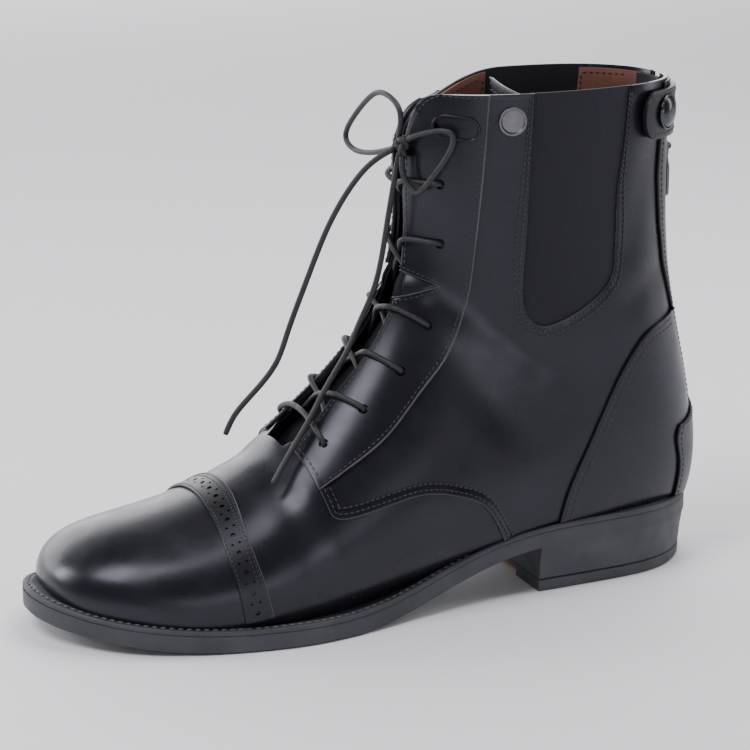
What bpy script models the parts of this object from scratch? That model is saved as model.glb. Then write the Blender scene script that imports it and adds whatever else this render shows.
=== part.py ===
"""Left lace-up ankle boot with elastic gussets and a back zip, built as closed solids.

Frame: metres, +Z up, toe towards -X, outer (lateral) side towards -Y, soles on the plane z = 0.
The tables and constants are in millimetres. The upper is a bent tube: each section runs from a point on
the instep line (top) to a point on the underside or back line (low), and every leather piece is cut from
an offset of that one surface.
"""
import math
from typing import NamedTuple

import bmesh
import bpy
import numpy as np

MM = 0.001
WALL = 2.4
SEAM_GAP = 0.4
OVERLAY = 1.1
ELASTIC = 1.6
TONGUE_THICK = 1.7
# The tongue drops by LACE_ROOM over these rows, so that the lace passes between it and the facings.
LACE_ROOM = 2.6
LACE_ROOM_ROWS = (4.15, 4.75)
STRAP_THICK = 2.0
OUTER_FACE = SEAM_GAP + OVERLAY
HEEL_BREAST_X = 58.0
HEEL_LIFT = 5.0
WELT_THICK = 2.9
INSOLE_THICK = 3.0
RIB_FIRST_X = -118.0
RIB_COUNT = 15
RIB_PITCH = 6.0
RIB_DEPTH = 1.0
RIB_HALF = 0.9
EYELET_RADIUS = 2.0
LACE_RADIUS = 1.15
LACE_LIFT = OUTER_FACE + LACE_RADIUS + 0.7
ZIP_HALF_SLOT = 3.6
ZIP_FOOT_Z = 52.0
ZIP_TOP_Z = 200.0
ZIP_TAPE_HALF = 10.0
ZIP_TAPE_THICK = 1.2
ZIP_COIL_HALF = 2.6
ZIP_PIN = (130.2, 174.5)
PULL_OUTLINE = ((2.0, -1.25), (2.0, -5.0), (3.3, -8.0), (3.3, -19.5), (2.2, -21.5))
PULL_HALF_THICK = 0.55
GUSSET_SINK = 0.3
QUARTER_EDGE_WIDTH = 3.6
QUARTER_EDGE_THICK = 0.7
HEEL_TAB_THICK = 1.0
SNAP_RADIUS = 6.8
SNAP_HEIGHT = 2.4
BADGE_RADIUS = 5.6
BADGE_HEIGHT = 1.3
INSERT_HALF = 15.0
INSERT_CENTRE_X = 108.0
INSERT_DEPTH = 3.0
INSOLE_INSET = 11.0
KNOT_RADIUS = 2.3
# Past the boot on every side, for the ends of cutters.
BEYOND = 70.0
BEHIND_X = 170.0
SHAFT_BACK_X = 70.0
COLLAR_ROW = 11.0
SKIN_AROUND = 24
SKIN_ROWS = 15
BOX_CENTRE = (-0.57, -1.59)


class Section(NamedTuple):
    """One section of the last: its two ends in side view, half width, side shift and shape."""

    top_x: float
    top_z: float
    low_x: float
    low_z: float
    half: float
    shift: float
    egg: float
    square: float


class Station(NamedTuple):
    """One station of the sole outline."""

    x: float
    lateral: float
    medial: float


class Level(NamedTuple):
    """Height of the sole's underside and of the feather line at one x."""

    x: float
    under: float
    feather: float


class Eyelet(NamedTuple):
    """One eyelet: row along the last and distance from the instep line."""

    row: float
    out: float


class ThroatRow(NamedTuple):
    """Half width of the throat at one row along the last."""

    row: float
    half: float


LAST = (
    Section(-138.5, 22.0, -138.5, 22.0, 0.0, 8.0, 0.00, 0.00),
    Section(-131.0, 32.0, -136.0, 10.0, 22.0, 8.0, 0.00, 0.15),
    Section(-113.0, 39.5, -122.0, 2.0, 36.0, 6.0, 0.05, 0.15),
    Section(-86.0, 46.0, -96.0, -8.0, 44.5, 2.0, 0.08, 0.12),
    Section(-57.0, 59.0, -62.0, -12.0, 47.0, -1.0, 0.10, 0.06),
    Section(-32.0, 80.0, -22.0, -8.0, 44.0, -2.0, 0.14, 0.02),
    Section(-10.0, 103.0, 24.0, 0.0, 39.0, -2.0, 0.18, 0.02),
    Section(4.0, 127.0, 82.0, 2.0, 35.0, -1.0, 0.20, 0.05),
    Section(10.0, 150.0, 134.0, 18.0, 33.0, 0.0, 0.16, 0.10),
    Section(10.5, 171.0, 139.5, 70.0, 33.0, 0.0, 0.02, 0.12),
    Section(11.0, 188.0, 127.5, 130.0, 33.5, 0.0, 0.00, 0.13),
    Section(13.0, 202.0, 126.0, 205.0, 34.0, 0.0, 0.00, 0.14),
)

SOLE_TOE = Station(-145.5, 7.0, 7.0)
SOLE_HEEL = Station(141.5, 0.0, 0.0)
SOLE = (
    Station(-139.5, -12.5, 25.5),
    Station(-122.0, -30.0, 38.5),
    Station(-95.0, -43.5, 46.5),
    Station(-60.0, -51.3, 48.5),
    Station(-30.0, -50.0, 43.5),
    Station(0.0, -42.8, 36.0),
    Station(30.0, -37.6, 33.5),
    Station(60.0, -35.8, 34.0),
    Station(90.0, -34.6, 34.2),
    Station(115.0, -31.0, 31.5),
    Station(133.0, -19.0, 19.5),
)

PROFILE = (
    Level(-150.0, 10.2, 20.7),
    Level(-126.0, 4.6, 15.1),
    Level(-102.0, 1.3, 12.0),
    Level(-78.0, -0.3, 10.6),
    Level(-54.0, -0.7, 10.4),
    Level(-30.0, -0.3, 10.6),
    Level(-6.0, 2.9, 13.5),
    Level(18.0, 9.8, 20.4),
    Level(42.0, 16.6, 26.8),
    Level(66.0, 19.8, 29.8),
    Level(90.0, 20.0, 30.4),
    Level(114.0, 20.0, 30.5),
    Level(138.0, 20.0, 30.5),
    Level(162.0, 20.0, 30.5),
)

EYELETS = (
    Eyelet(4.97, 22.5),
    Eyelet(5.62, 22.3),
    Eyelet(6.32, 21.4),
    Eyelet(7.06, 19.3),
    Eyelet(8.28, 17.2),
    Eyelet(9.32, 19.0),
    Eyelet(10.42, 17.7),
)

THROAT = (
    ThroatRow(4.50, 11.0),
    ThroatRow(4.62, 15.5),
    ThroatRow(4.85, 14.5),
    ThroatRow(5.40, 10.5),
    ThroatRow(6.30, 9.5),
    ThroatRow(7.10, 8.0),
    ThroatRow(7.80, 5.5),
    ThroatRow(8.60, 4.5),
    ThroatRow(9.60, 5.0),
    ThroatRow(10.30, 7.5),
    ThroatRow(10.75, 12.0),
    ThroatRow(11.20, 21.0),
)

# Pattern lines in side view, as (x, z).
FACING_SEAM = ((36.0, 207.0), (33.0, 162.0), (31.5, 133.0), (26.8, 115.8), (19.3, 102.2),
               (8.3, 91.0), (-6.7, 76.6), (-21.5, 66.7), (-38.5, 57.0))
FACING_FRONT = ((-41.5, 67.0), (-50.0, 92.0), (-20.0, 150.0), (-8.0, 210.0))
GUSSET_LINE = ((53.5, 212.0), (52.0, 179.0), (51.2, 150.0), (51.0, 124.0), (55.0, 114.0), (63.0, 112.0),
               (79.0, 119.5), (87.5, 127.0), (90.5, 137.0), (91.0, 163.0), (93.8, 183.0), (96.0, 212.0))
COUNTER_SEAM = ((127.0, 109.0), (112.0, 105.5), (103.0, 100.0), (95.0, 90.0), (88.2, 77.7), (77.4, 56.8),
                (69.5, 40.0), (66.0, 20.0))
QUARTER_SEAM = ((-38.2, 57.0), (-36.6, 50.7), (-31.3, 46.8), (-10.9, 50.0), (6.1, 51.6), (21.2, 47.8),
                (32.2, 40.9), (42.0, 25.0))
BAND_FRONT = ((-75.0, 60.0), (-77.0, 46.0), (-77.0, 32.0), (-72.5, 5.0))
BAND_BACK = ((-64.0, 60.0), (-68.0, 46.0), (-67.0, 32.0), (-61.0, 5.0))
TONGUE_EDGE = ((-53.0, 36.0), (-28.0, 60.0), (3.0, 84.0), (22.0, 108.0), (31.0, 136.0), (33.0, 170.0),
               (34.0, 201.0))
NOTCH_LINE = ((7.0, 134.8), (5.0, 123.6), (20.3, 129.0))
HEEL_TAB_LINE = ((150.0, 68.0), (134.0, 66.5), (126.0, 61.0), (124.0, 55.0), (126.5, 44.0), (125.5, 20.0),
                 (150.0, 20.0))
STRAP_LINE = ((150.0, 202.5), (106.0, 202.0), (102.5, 199.0), (101.5, 193.0), (103.5, 187.0), (108.0, 183.5),
              (150.0, 183.0))
# Outer edge of the strips beside the zip seen from behind, as (y, z).
BACK_STRIP_EDGE = ((21.0, 208.0), (21.8, 183.0), (22.6, 167.0), (21.4, 147.0), (19.6, 131.0), (15.8, 111.0),
                   (13.6, 90.0), (12.8, 48.6))
SNAP_POINT = (113.5, 192.5)
BADGE_POINT = (44.3, 193.5)


class Spline:
    """Natural cubic spline through equally spaced rows of values."""

    def __init__(self, rows):
        self.rows = np.asarray(rows, float)
        count = len(self.rows)
        system = np.eye(count)
        right = np.zeros_like(self.rows)
        for i in range(1, count - 1):
            system[i, i - 1:i + 2] = (1.0, 4.0, 1.0)
            right[i] = 6.0 * (self.rows[i - 1] - 2.0 * self.rows[i] + self.rows[i + 1])
        self.bend = np.linalg.solve(system, right)

    def at(self, place):
        """Values at a place counted in rows."""
        place = np.asarray(place, float)
        i = np.clip(np.floor(place).astype(int), 0, len(self.rows) - 2)
        f = (place - i)[..., None]
        g = 1.0 - f
        bent = ((g ** 3 - g) * self.bend[i] + (f ** 3 - f) * self.bend[i + 1]) / 6.0
        return g * self.rows[i] + f * self.rows[i + 1] + bent


def toe_mirror(row):
    """The section that carries the surface smoothly through the toe point."""
    return Section(row.low_x, row.low_z, row.top_x, row.top_z, -row.half, row.shift, -row.egg, row.square)


LAST_SPLINE = Spline((toe_mirror(LAST[1]),) + LAST)
PROFILE_SPLINE = Spline([(level.under, level.feather) for level in PROFILE])
THROAT_ROWS = np.array(THROAT)
SOLE_SPLINE = Spline([(SOLE[0].x, SOLE[0].medial, SOLE[0].lateral), SOLE_TOE] + list(SOLE)
                     + [SOLE_HEEL, (SOLE[-1].x, SOLE[-1].medial, SOLE[-1].lateral)])


def profile_at(x):
    """Underside and feather heights at x."""
    step = PROFILE[1].x - PROFILE[0].x
    values = PROFILE_SPLINE.at((np.asarray(x, float) - PROFILE[0].x) / step)
    return np.maximum(values[..., 0], 0.0), values[..., 1]


def under_at(x):
    """Underside of the sole, flat on the floor under the ball of the foot."""
    return profile_at(x)[0]


def feather_at(x):
    """Line where the upper meets the sole."""
    return profile_at(x)[1]


def last_base(row, angle):
    """Point of the last; angle 0 is the instep line, pi the underside or back line."""
    row, angle = np.broadcast_arrays(np.asarray(row, float), np.asarray(angle, float))
    top_x, top_z, low_x, low_z, half, shift, egg, square = np.moveaxis(LAST_SPLINE.at(row + 1.0), -1, 0)
    c = np.cos(angle)
    s = np.sin(angle)
    x = 0.5 * (top_x + low_x) + 0.5 * (top_x - low_x) * c
    z = 0.5 * (top_z + low_z) + 0.5 * (top_z - low_z) * c
    y = shift + half * s * (1.0 - egg * c) * (1.0 + square * c * c)
    return np.stack([x, y, z], -1)


def last_normal(row, angle):
    """Outward normal of the last."""
    step = 1e-3
    along = last_base(row + step, angle) - last_base(row - step, angle)
    around = last_base(row, angle + step) - last_base(row, angle - step)
    normal = np.cross(along, around)
    return normal / np.linalg.norm(normal, axis=-1, keepdims=True)


def last_at(row, angle, offset):
    """Point at a distance outside the last."""
    row = np.asarray(row, float)
    angle = np.asarray(angle, float)
    return last_base(row, angle) + last_normal(row, angle) * offset


def angle_out(row, out):
    """Angle at which the last lies a distance to the side of the instep line."""
    low = 0.0
    high = 1.4
    centre = last_base(row, 0.0)[1]
    for _ in range(40):
        middle = 0.5 * (low + high)
        if abs(last_base(row, middle)[1] - centre) < out:
            low = middle
        else:
            high = middle
    return low


def side_place(x, z):
    """Row and angle of the point seen at (x, z) in side view."""
    rows = np.linspace(0.2, COLLAR_ROW + 0.3, 2400)
    values = LAST_SPLINE.at(rows + 1.0)
    to_low = values[:, 2:4] - values[:, 0:2]
    to_point = np.array((x, z)) - values[:, 0:2]
    across = to_low[:, 0] * to_point[:, 1] - to_low[:, 1] * to_point[:, 0]
    share = (to_low * to_point).sum(1) / np.maximum((to_low ** 2).sum(1), 1e-9)
    reach = np.abs(across) / np.sqrt(np.maximum((to_low ** 2).sum(1), 1e-9))
    reach = np.where((share > 0.0) & (share < 1.0), reach, 1e3)
    best = int(reach.argmin())
    return rows[best], math.acos(1.0 - 2.0 * share[best])


def new_material(name, colour, roughness, metallic=0.0):
    """Principled material of one piece."""
    material = bpy.data.materials.new(name)
    material.use_nodes = True
    shader = material.node_tree.nodes["Principled BSDF"]
    shader.inputs["Base Color"].default_value = (*colour, 1.0)
    shader.inputs["Roughness"].default_value = roughness
    shader.inputs["Metallic"].default_value = metallic
    return material


def new_object(name, points, faces, material=None):
    """Closed mesh object from millimetre points."""
    mesh = bpy.data.meshes.new(name)
    centre = (*BOX_CENTRE, 0.0)
    mesh.from_pydata([tuple(float(v - c) * MM for v, c in zip(p, centre)) for p in points], [], faces)
    work = bmesh.new()
    work.from_mesh(mesh)
    bmesh.ops.triangulate(work, faces=work.faces)
    bmesh.ops.recalc_face_normals(work, faces=work.faces)
    work.to_mesh(mesh)
    work.free()
    item = bpy.data.objects.new(name, mesh)
    bpy.context.collection.objects.link(item)
    if material is not None:
        mesh.materials.append(material)
    return item


def combine(item, other, operation):
    """Apply one Boolean and remove the second object."""
    change = item.modifiers.new("cut", "BOOLEAN")
    change.operation = operation
    change.solver = "EXACT"
    change.object = other
    bpy.context.view_layer.update()
    graph = bpy.context.evaluated_depsgraph_get()
    mesh = bpy.data.meshes.new_from_object(item.evaluated_get(graph))
    item.modifiers.clear()
    old = item.data
    item.data = mesh
    bpy.data.meshes.remove(old)
    bpy.data.objects.remove(other)
    return item


def rename(item, name, material, weld=0.02):
    """Final name and material of a piece, with stray edges shorter than weld removed."""
    item.name = name
    item.data.name = name
    item.data.materials.clear()
    item.data.materials.append(material)
    work = bmesh.new()
    work.from_mesh(item.data)
    if weld > 0.0:
        bmesh.ops.remove_doubles(work, verts=work.verts, dist=weld * MM)
        bmesh.ops.dissolve_degenerate(work, edges=work.edges, dist=weld * MM)
    bmesh.ops.triangulate(work, faces=work.faces)
    work.to_mesh(item.data)
    work.free()
    return item


def skin_rows():
    """Rows of the skin's grid, close together at the toe."""
    toe = (0.05, 0.2, 0.45, 0.75, 1.1, 1.5)
    return np.concatenate([toe, np.linspace(2.0, COLLAR_ROW, SKIN_ROWS)])


def skin(inner, outer, drop=0.0):
    """Closed wall between two offsets of the last, open at the collar and cut at the feather line.

    Behind the vamp the wall lies deeper by drop.
    """
    rows = skin_rows()
    share = np.clip((rows - LACE_ROOM_ROWS[0]) / (LACE_ROOM_ROWS[1] - LACE_ROOM_ROWS[0]), 0.0, 1.0)
    sunk = drop * (share * share * (3.0 - 2.0 * share))[:, None]
    around = SKIN_AROUND
    angles = np.linspace(-math.pi, math.pi, around, endpoint=False)
    grid_row, grid_angle = np.meshgrid(rows, angles, indexing="ij")
    points = []
    for offset in (outer, inner):
        points.extend(last_at(grid_row, grid_angle, (offset - sunk)[..., None]).reshape(-1, 3))
    count = len(rows)
    shift = count * around
    faces = []
    for i in range(count - 1):
        for j in range(around):
            k = (j + 1) % around
            a, b = i * around + j, i * around + k
            c, d = a + around, b + around
            faces.append((a, b, d, c))
            faces.append((shift + a, shift + c, shift + d, shift + b))
    top = (count - 1) * around
    for j in range(around):
        k = (j + 1) % around
        faces.append((top + j, top + k, shift + top + k, shift + top + j))
    faces.append(tuple(range(around)))
    faces.append(tuple(shift + j for j in range(around)))
    item = new_object("skin", points, faces)
    return combine(item, feather_block(), "DIFFERENCE")


def feather_block():
    """Everything below the feather line."""
    xs = np.linspace(-170.0, 170.0, 49)
    tops = feather_at(np.clip(xs, -149.0, 160.0))
    points = []
    for x, z in zip(xs, tops):
        points.extend(((x, -80.0, z), (x, 80.0, z), (x, 80.0, -60.0), (x, -80.0, -60.0)))
    faces = [(0, 1, 2, 3), tuple(4 * (len(xs) - 1) + i for i in range(4))]
    for i in range(len(xs) - 1):
        for j in range(4):
            k = (j + 1) % 4
            faces.append((4 * i + j, 4 * i + k, 4 * i + 4 + k, 4 * i + 4 + j))
    return new_object("feather_block", points, faces)


def smooth_line(line, count):
    """Points along a spline through a short line."""
    return Spline(line).at(np.linspace(0.0, len(line) - 1.0, count))


def prism(outline, low_y, high_y):
    """Side-view outline carried across from low_y to high_y."""
    outline = np.asarray(outline, float)
    count = len(outline)
    points = [(x, low_y, z) for x, z in outline] + [(x, high_y, z) for x, z in outline]
    return new_object("prism", points, prism_faces(count))


def back_prism(outline):
    """Outline seen from behind, as (y, z), carried along the shaft's back half."""
    count = len(outline)
    points = [(SHAFT_BACK_X, y, z) for y, z in outline] + [(BEHIND_X, y, z) for y, z in outline]
    return new_object("back_prism", points, prism_faces(count))


def prism_faces(count):
    """Faces of a prism with two rings of count points."""
    faces = [tuple(range(count)), tuple(range(2 * count - 1, count - 1, -1))]
    for i in range(count):
        k = (i + 1) % count
        faces.append((i, k, count + k, count + i))
    return faces


def block(low, high):
    """Upright box between two corners."""
    xs, ys, zs = zip(low, high)
    points = [(x, y, z) for x in xs for y in ys for z in zs]
    faces = [(0, 1, 3, 2), (4, 6, 7, 5), (0, 4, 5, 1), (2, 3, 7, 6), (0, 2, 6, 4), (1, 5, 7, 3)]
    return new_object("block", points, faces)


def grown(outline, distance):
    """Closed outline moved outwards by a distance."""
    outline = np.asarray(outline, float)
    ahead = np.roll(outline, -1, 0) - np.roll(outline, 1, 0)
    normal = np.stack([ahead[:, 1], -ahead[:, 0]], 1)
    normal /= np.maximum(np.linalg.norm(normal, axis=1, keepdims=True), 1e-9)
    area = np.sum(outline[:, 0] * np.roll(outline[:, 1], -1) - np.roll(outline[:, 0], -1) * outline[:, 1])
    return outline + normal * distance * (1.0 if area > 0 else -1.0)


def ribbon(line, width, count):
    """Closed outline of a narrow band on both sides of a line."""
    middle = smooth_line(line, count)
    ahead = np.gradient(middle, axis=0)
    normal = np.stack([-ahead[:, 1], ahead[:, 0]], 1)
    normal /= np.linalg.norm(normal, axis=1, keepdims=True)
    return np.concatenate([middle + normal * width / 2, (middle - normal * width / 2)[::-1]])


def throat_cutter():
    """Slit between the two facings, widening at the vamp and rounded at the collar."""
    rows = np.linspace(THROAT_ROWS[0, 0], THROAT_ROWS[-1, 0], 20)
    halves = np.interp(rows, THROAT_ROWS[:, 0], THROAT_ROWS[:, 1])
    points = []
    steps = (-1.0, 0.0, 1.0)
    for row, half in zip(rows, halves):
        edge = angle_out(row, half)
        for offset in (8.0, -9.0):
            for step in steps:
                points.append(last_at(row, edge * step, offset))
    return strip_solid("throat_cutter", points, len(rows), len(steps))


def strip_solid(name, points, count, across):
    """Closed solid from rows of two layers of points each."""
    ring = 2 * across
    faces = []
    order = list(range(across)) + list(range(ring - 1, across - 1, -1))
    for i in range(count - 1):
        for j in range(ring):
            a = i * ring + order[j]
            b = i * ring + order[(j + 1) % ring]
            faces.append((a, b, b + ring, a + ring))
    faces.append(tuple(order))
    faces.append(tuple((count - 1) * ring + j for j in order))
    return new_object(name, points, faces)


def hole_cutter(row, angle, radius, sides=6):
    """Round cutter along the normal of the last."""
    base = last_base(row, angle)
    normal = last_normal(row, angle)
    first = np.cross(normal, (0.0, 0.0, 1.0))
    first /= np.linalg.norm(first)
    second = np.cross(normal, first)
    points = []
    for depth in (-7.0, 7.0):
        for i in range(sides):
            turn = 2.0 * math.pi * (i + 0.5) / sides
            points.append(base + normal * depth + radius * (math.cos(turn) * first + math.sin(turn) * second))
    return new_object("hole_cutter", points, prism_faces(sides))


def eyelet_angle(eyelet, side):
    """Signed angle of an eyelet on one side."""
    return side * angle_out(eyelet.row, eyelet.out)


def notch_cutter(side):
    """Flex notch in the facing at the ankle."""
    return prism(NOTCH_LINE, *sorted((0.0, side * BEYOND)))


def cut_facing_openings(item, sides):
    """Cut the throat, the eyelets and the flex notches."""
    combine(item, throat_cutter(), "DIFFERENCE")
    for side in sides:
        combine(item, notch_cutter(side), "DIFFERENCE")
        for eyelet in EYELETS:
            cutter = hole_cutter(eyelet.row, eyelet_angle(eyelet, side), EYELET_RADIUS)
            combine(item, cutter, "DIFFERENCE")
    return item


def gusset_prism(side, distance):
    """Cutter of one elastic gusset, grown by a distance."""
    outline = grown(smooth_line(GUSSET_LINE, 16), distance)
    return prism(outline, *sorted((side * 0.2 * BEYOND, side * BEYOND)))


def make_upper(material):
    """The one-piece leather upper."""
    item = skin(-WALL, 0.0)
    cut_facing_openings(item, (-1.0, 1.0))
    for side in (-1.0, 1.0):
        combine(item, gusset_prism(side, 0.0), "DIFFERENCE")
    slot = block((SHAFT_BACK_X, -ZIP_HALF_SLOT, ZIP_FOOT_Z), (BEHIND_X, ZIP_HALF_SLOT, ZIP_TOP_Z + 20.0))
    combine(item, slot, "DIFFERENCE")
    return rename(item, "upper", material)


def make_gusset(name, side, material):
    """Elastic panel set in the upper's window."""
    item = skin(-GUSSET_SINK - ELASTIC, -GUSSET_SINK)
    combine(item, gusset_prism(side, -SEAM_GAP), "INTERSECT")
    return rename(item, name, material)


def make_facing(name, side, material):
    """Eyelet facing sewn on one side of the throat."""
    item = skin(SEAM_GAP, OUTER_FACE)
    outline = np.concatenate([smooth_line(FACING_SEAM, 13), np.array(FACING_FRONT)])
    combine(item, prism(outline, *sorted((0.0, side * BEYOND))), "INTERSECT")
    cut_facing_openings(item, (side,))
    return rename(item, name, material)


def make_overlay(name, outline, low_y, high_y, offsets, material):
    """Overlay cut from an offset of the last by a side-view outline."""
    item = skin(*offsets)
    combine(item, prism(outline, low_y, high_y), "INTERSECT")
    return rename(item, name, material)


def make_counter(material):
    """Heel counter on both sides, open for the back strips down to the heel tab."""
    item = skin(SEAM_GAP, OUTER_FACE)
    seam = smooth_line(COUNTER_SEAM, 13)
    outline = np.concatenate([seam, ((BEHIND_X, seam[-1, 1]), (BEHIND_X, seam[0, 1]))])
    combine(item, prism(outline, -BEYOND, BEYOND), "INTERSECT")
    edge = [(y + SEAM_GAP, z) for y, z in BACK_STRIP_EDGE]
    foot_y, foot_z = edge[-1]
    edge.append((foot_y, foot_z - SEAM_GAP))
    outline = edge + [(-y, z) for y, z in reversed(edge)]
    combine(item, back_prism(outline), "DIFFERENCE")
    return rename(item, "counter", material)


def make_back_strip(name, side, material):
    """Leather strip beside the zip."""
    item = skin(SEAM_GAP, OUTER_FACE)
    inner = ZIP_HALF_SLOT + SEAM_GAP
    outline = [(side * y, z) for y, z in BACK_STRIP_EDGE]
    outline += [(side * inner, BACK_STRIP_EDGE[-1][1]), (side * inner, BACK_STRIP_EDGE[0][1])]
    combine(item, back_prism(outline), "INTERSECT")
    return rename(item, name, material)


def make_zip(material):
    """Zip tape inside the wall with its closed coil standing in the slot."""
    outer = -WALL - SEAM_GAP
    tape = skin(outer - ZIP_TAPE_THICK, outer)
    box = block((SHAFT_BACK_X, -ZIP_TAPE_HALF, ZIP_FOOT_Z - 5.0), (BEHIND_X, ZIP_TAPE_HALF, ZIP_TOP_Z))
    combine(tape, box, "INTERSECT")
    coil = skin(outer - 0.4 * ZIP_TAPE_THICK, -0.25 * WALL)
    box = block((SHAFT_BACK_X, -ZIP_COIL_HALF, ZIP_FOOT_Z + 1.0), (BEHIND_X, ZIP_COIL_HALF, ZIP_TOP_Z))
    combine(coil, box, "INTERSECT")
    combine(tape, coil, "UNION")
    return rename(tape, "zip_tape", material)


def cylinder(centre, radius, low_y, high_y, sides=8):
    """Cylinder across the boot, centred at (x, z)."""
    outline = []
    for i in range(sides):
        turn = 2.0 * math.pi * (i + 0.5) / sides
        outline.append((centre[0] + radius * math.cos(turn), centre[1] + radius * math.sin(turn)))
    return prism(outline, low_y, high_y)


def make_zip_slider(material):
    """Slider on the coil below the strap, with two ears and the pin of its pull."""
    x, z = ZIP_PIN
    item = block((x - 4.6, -3.3, z - 8.5), (x - 1.9, 3.3, z + 2.5))
    for side in (-1.0, 1.0):
        low, high = sorted((side * 2.6, side * 3.5))
        combine(item, block((x - 2.4, low, z - 1.5), (x + 1.4, high, z + 1.5)), "UNION")
    combine(item, cylinder(ZIP_PIN, 0.6, -3.1, 3.1), "UNION")
    return rename(item, "zip_slider", material)


def make_zip_pull(material):
    """Pull tab that hangs from the slider's pin."""
    x, z = ZIP_PIN
    item = cylinder(ZIP_PIN, 1.55, -2.3, 2.3)
    half = [(y, z + rise) for y, rise in PULL_OUTLINE]
    ring = half + [(-y, height) for y, height in reversed(half)]
    points = [(x + PULL_HALF_THICK * face, y, height) for face in (-1.0, 1.0) for y, height in ring]
    combine(item, new_object("plate", points, prism_faces(len(ring))), "UNION")
    combine(item, cylinder(ZIP_PIN, 0.95, -4.0, 4.0), "DIFFERENCE")
    return rename(item, "zip_pull", material)


def make_tongue(material):
    """Tongue under the throat."""
    item = skin(-WALL - SEAM_GAP - TONGUE_THICK, -WALL - SEAM_GAP, LACE_ROOM)
    front = ((-14.0, 201.0), (-20.0, 160.0), (-52.0, 100.0), (-64.0, 62.0))
    outline = np.concatenate([smooth_line(TONGUE_EDGE, 10), np.array(front)])
    combine(item, prism(outline, -BEYOND, BEYOND), "INTERSECT")
    return rename(item, "tongue", material)


def sole_stations(places, inset):
    """Left and right points of the sole outline at places along it, moved inwards."""
    step = 1e-3
    values = SOLE_SPLINE.at(places)
    ahead = SOLE_SPLINE.at(places + step) - SOLE_SPLINE.at(places - step)
    sides = []
    for column, sign in ((1, 1.0), (2, -1.0)):
        normal = np.stack([-ahead[:, column], ahead[:, 0]], 1) * sign
        normal /= np.linalg.norm(normal, axis=1, keepdims=True)
        sides.append(np.stack([values[:, 0], values[:, column]], 1) + normal * inset)
    return sides


def sole_places(first_x=None, extra=()):
    """Places along the sole outline, close together at the round ends."""
    end = len(SOLE) + 2.0
    share = np.linspace(0.0, 1.0, 31)
    share = 0.55 * 0.5 * (1.0 - np.cos(math.pi * share)) + 0.45 * share
    places = 1.0 + (end - 1.0) * share
    places[0] += 0.02
    places[-1] -= 0.02
    dense = np.linspace(1.0, end, 4000)
    dense_x = SOLE_SPLINE.at(dense)[:, 0]
    if len(extra):
        places = np.sort(np.concatenate([places, np.interp(extra, dense_x, dense)]))
        keep = np.concatenate([[True], np.diff(places) > 1e-3])
        places = places[keep]
    if first_x is not None:
        start = float(np.interp(first_x, dense_x, dense))
        places = np.concatenate([[start], places[places > start + 0.05]])
    return places


def make_plate(name, levels, places, material, groove=None):
    """Solid lofted along the sole from levels of (inset, height function), bottom first."""
    rings = []
    for number, (inset, height) in enumerate(levels):
        sides = []
        for line in sole_stations(places, inset):
            heights = height(line[:, 0])
            if groove is not None and number == 0:
                heights = heights + groove(SOLE_SPLINE.at(places)[:, 0])
            sides.append(np.column_stack([line, heights]))
        rings.append(sides)
    points = []
    for i in range(len(places)):
        points.extend(left[i] for left, _ in rings)
        points.extend(right[i] for _, right in reversed(rings))
    ring = 2 * len(levels)
    faces = [tuple(range(ring)), tuple((len(places) - 1) * ring + j for j in range(ring))]
    for i in range(len(places) - 1):
        for j in range(ring):
            a = i * ring + j
            b = i * ring + (j + 1) % ring
            faces.append((a, b, b + ring, a + ring))
    item = new_object(name, points, faces)
    return rename(item, name, material)


def rib_edges():
    """Edges and bottoms of the forefoot grooves along x."""
    edges = []
    for i in range(RIB_COUNT):
        x = RIB_FIRST_X + i * RIB_PITCH
        edges.extend((x - RIB_HALF, x, x + RIB_HALF))
    return np.array(edges)


def groove_at(x):
    """Depth of the cross grooves of the forefoot at x."""
    nearest = RIB_FIRST_X + np.clip(np.round((x - RIB_FIRST_X) / RIB_PITCH), 0, RIB_COUNT - 1) * RIB_PITCH
    return RIB_DEPTH * np.clip(1.0 - np.abs(x - nearest) / RIB_HALF, 0.0, 1.0)


def make_sole(sole_material, heel_material, insert_material, welt_material, insole_material):
    """Outsole, welt, heel and insole."""
    def above_under(height):
        return lambda x: under_at(x) + height

    def at_feather(height):
        return lambda x: feather_at(x) + height

    def flat(height):
        return lambda x: np.full(np.shape(x), height)

    outsole = ((7.0, above_under(0.0)), (0.8, above_under(0.0)),
               (0.0, at_feather(-WELT_THICK - 0.65)))
    make_plate("outsole", outsole, sole_places(extra=rib_edges()), sole_material, groove_at)
    welt = ((0.3, at_feather(-WELT_THICK - 0.3)), (0.3, at_feather(-2.2)), (3.4, at_feather(-0.35)))
    make_plate("welt", welt, sole_places(), welt_material)
    insole = ((INSOLE_INSET, at_feather(0.0)), (INSOLE_INSET, at_feather(INSOLE_THICK)))
    make_plate("insole", insole, sole_places(), insole_material)
    heel = ((2.0, flat(HEEL_LIFT + 0.3)), (0.6, above_under(-0.4)))
    make_plate("heel_block", heel, sole_places(HEEL_BREAST_X), heel_material)
    lift = make_plate("heel_top_lift", ((2.6, flat(0.0)), (2.1, flat(0.8)), (2.1, flat(HEEL_LIFT))),
                      sole_places(HEEL_BREAST_X), heel_material)
    combine(lift, insert_prism(HEEL_BREAST_X - 5.0, 0.0, -1.0, INSERT_DEPTH), "DIFFERENCE")
    rename(lift, "heel_top_lift", heel_material)
    insert = insert_prism(HEEL_BREAST_X + SEAM_GAP, 0.3, 0.3, INSERT_DEPTH - 0.3)
    rename(insert, "heel_insert", insert_material)


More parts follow.
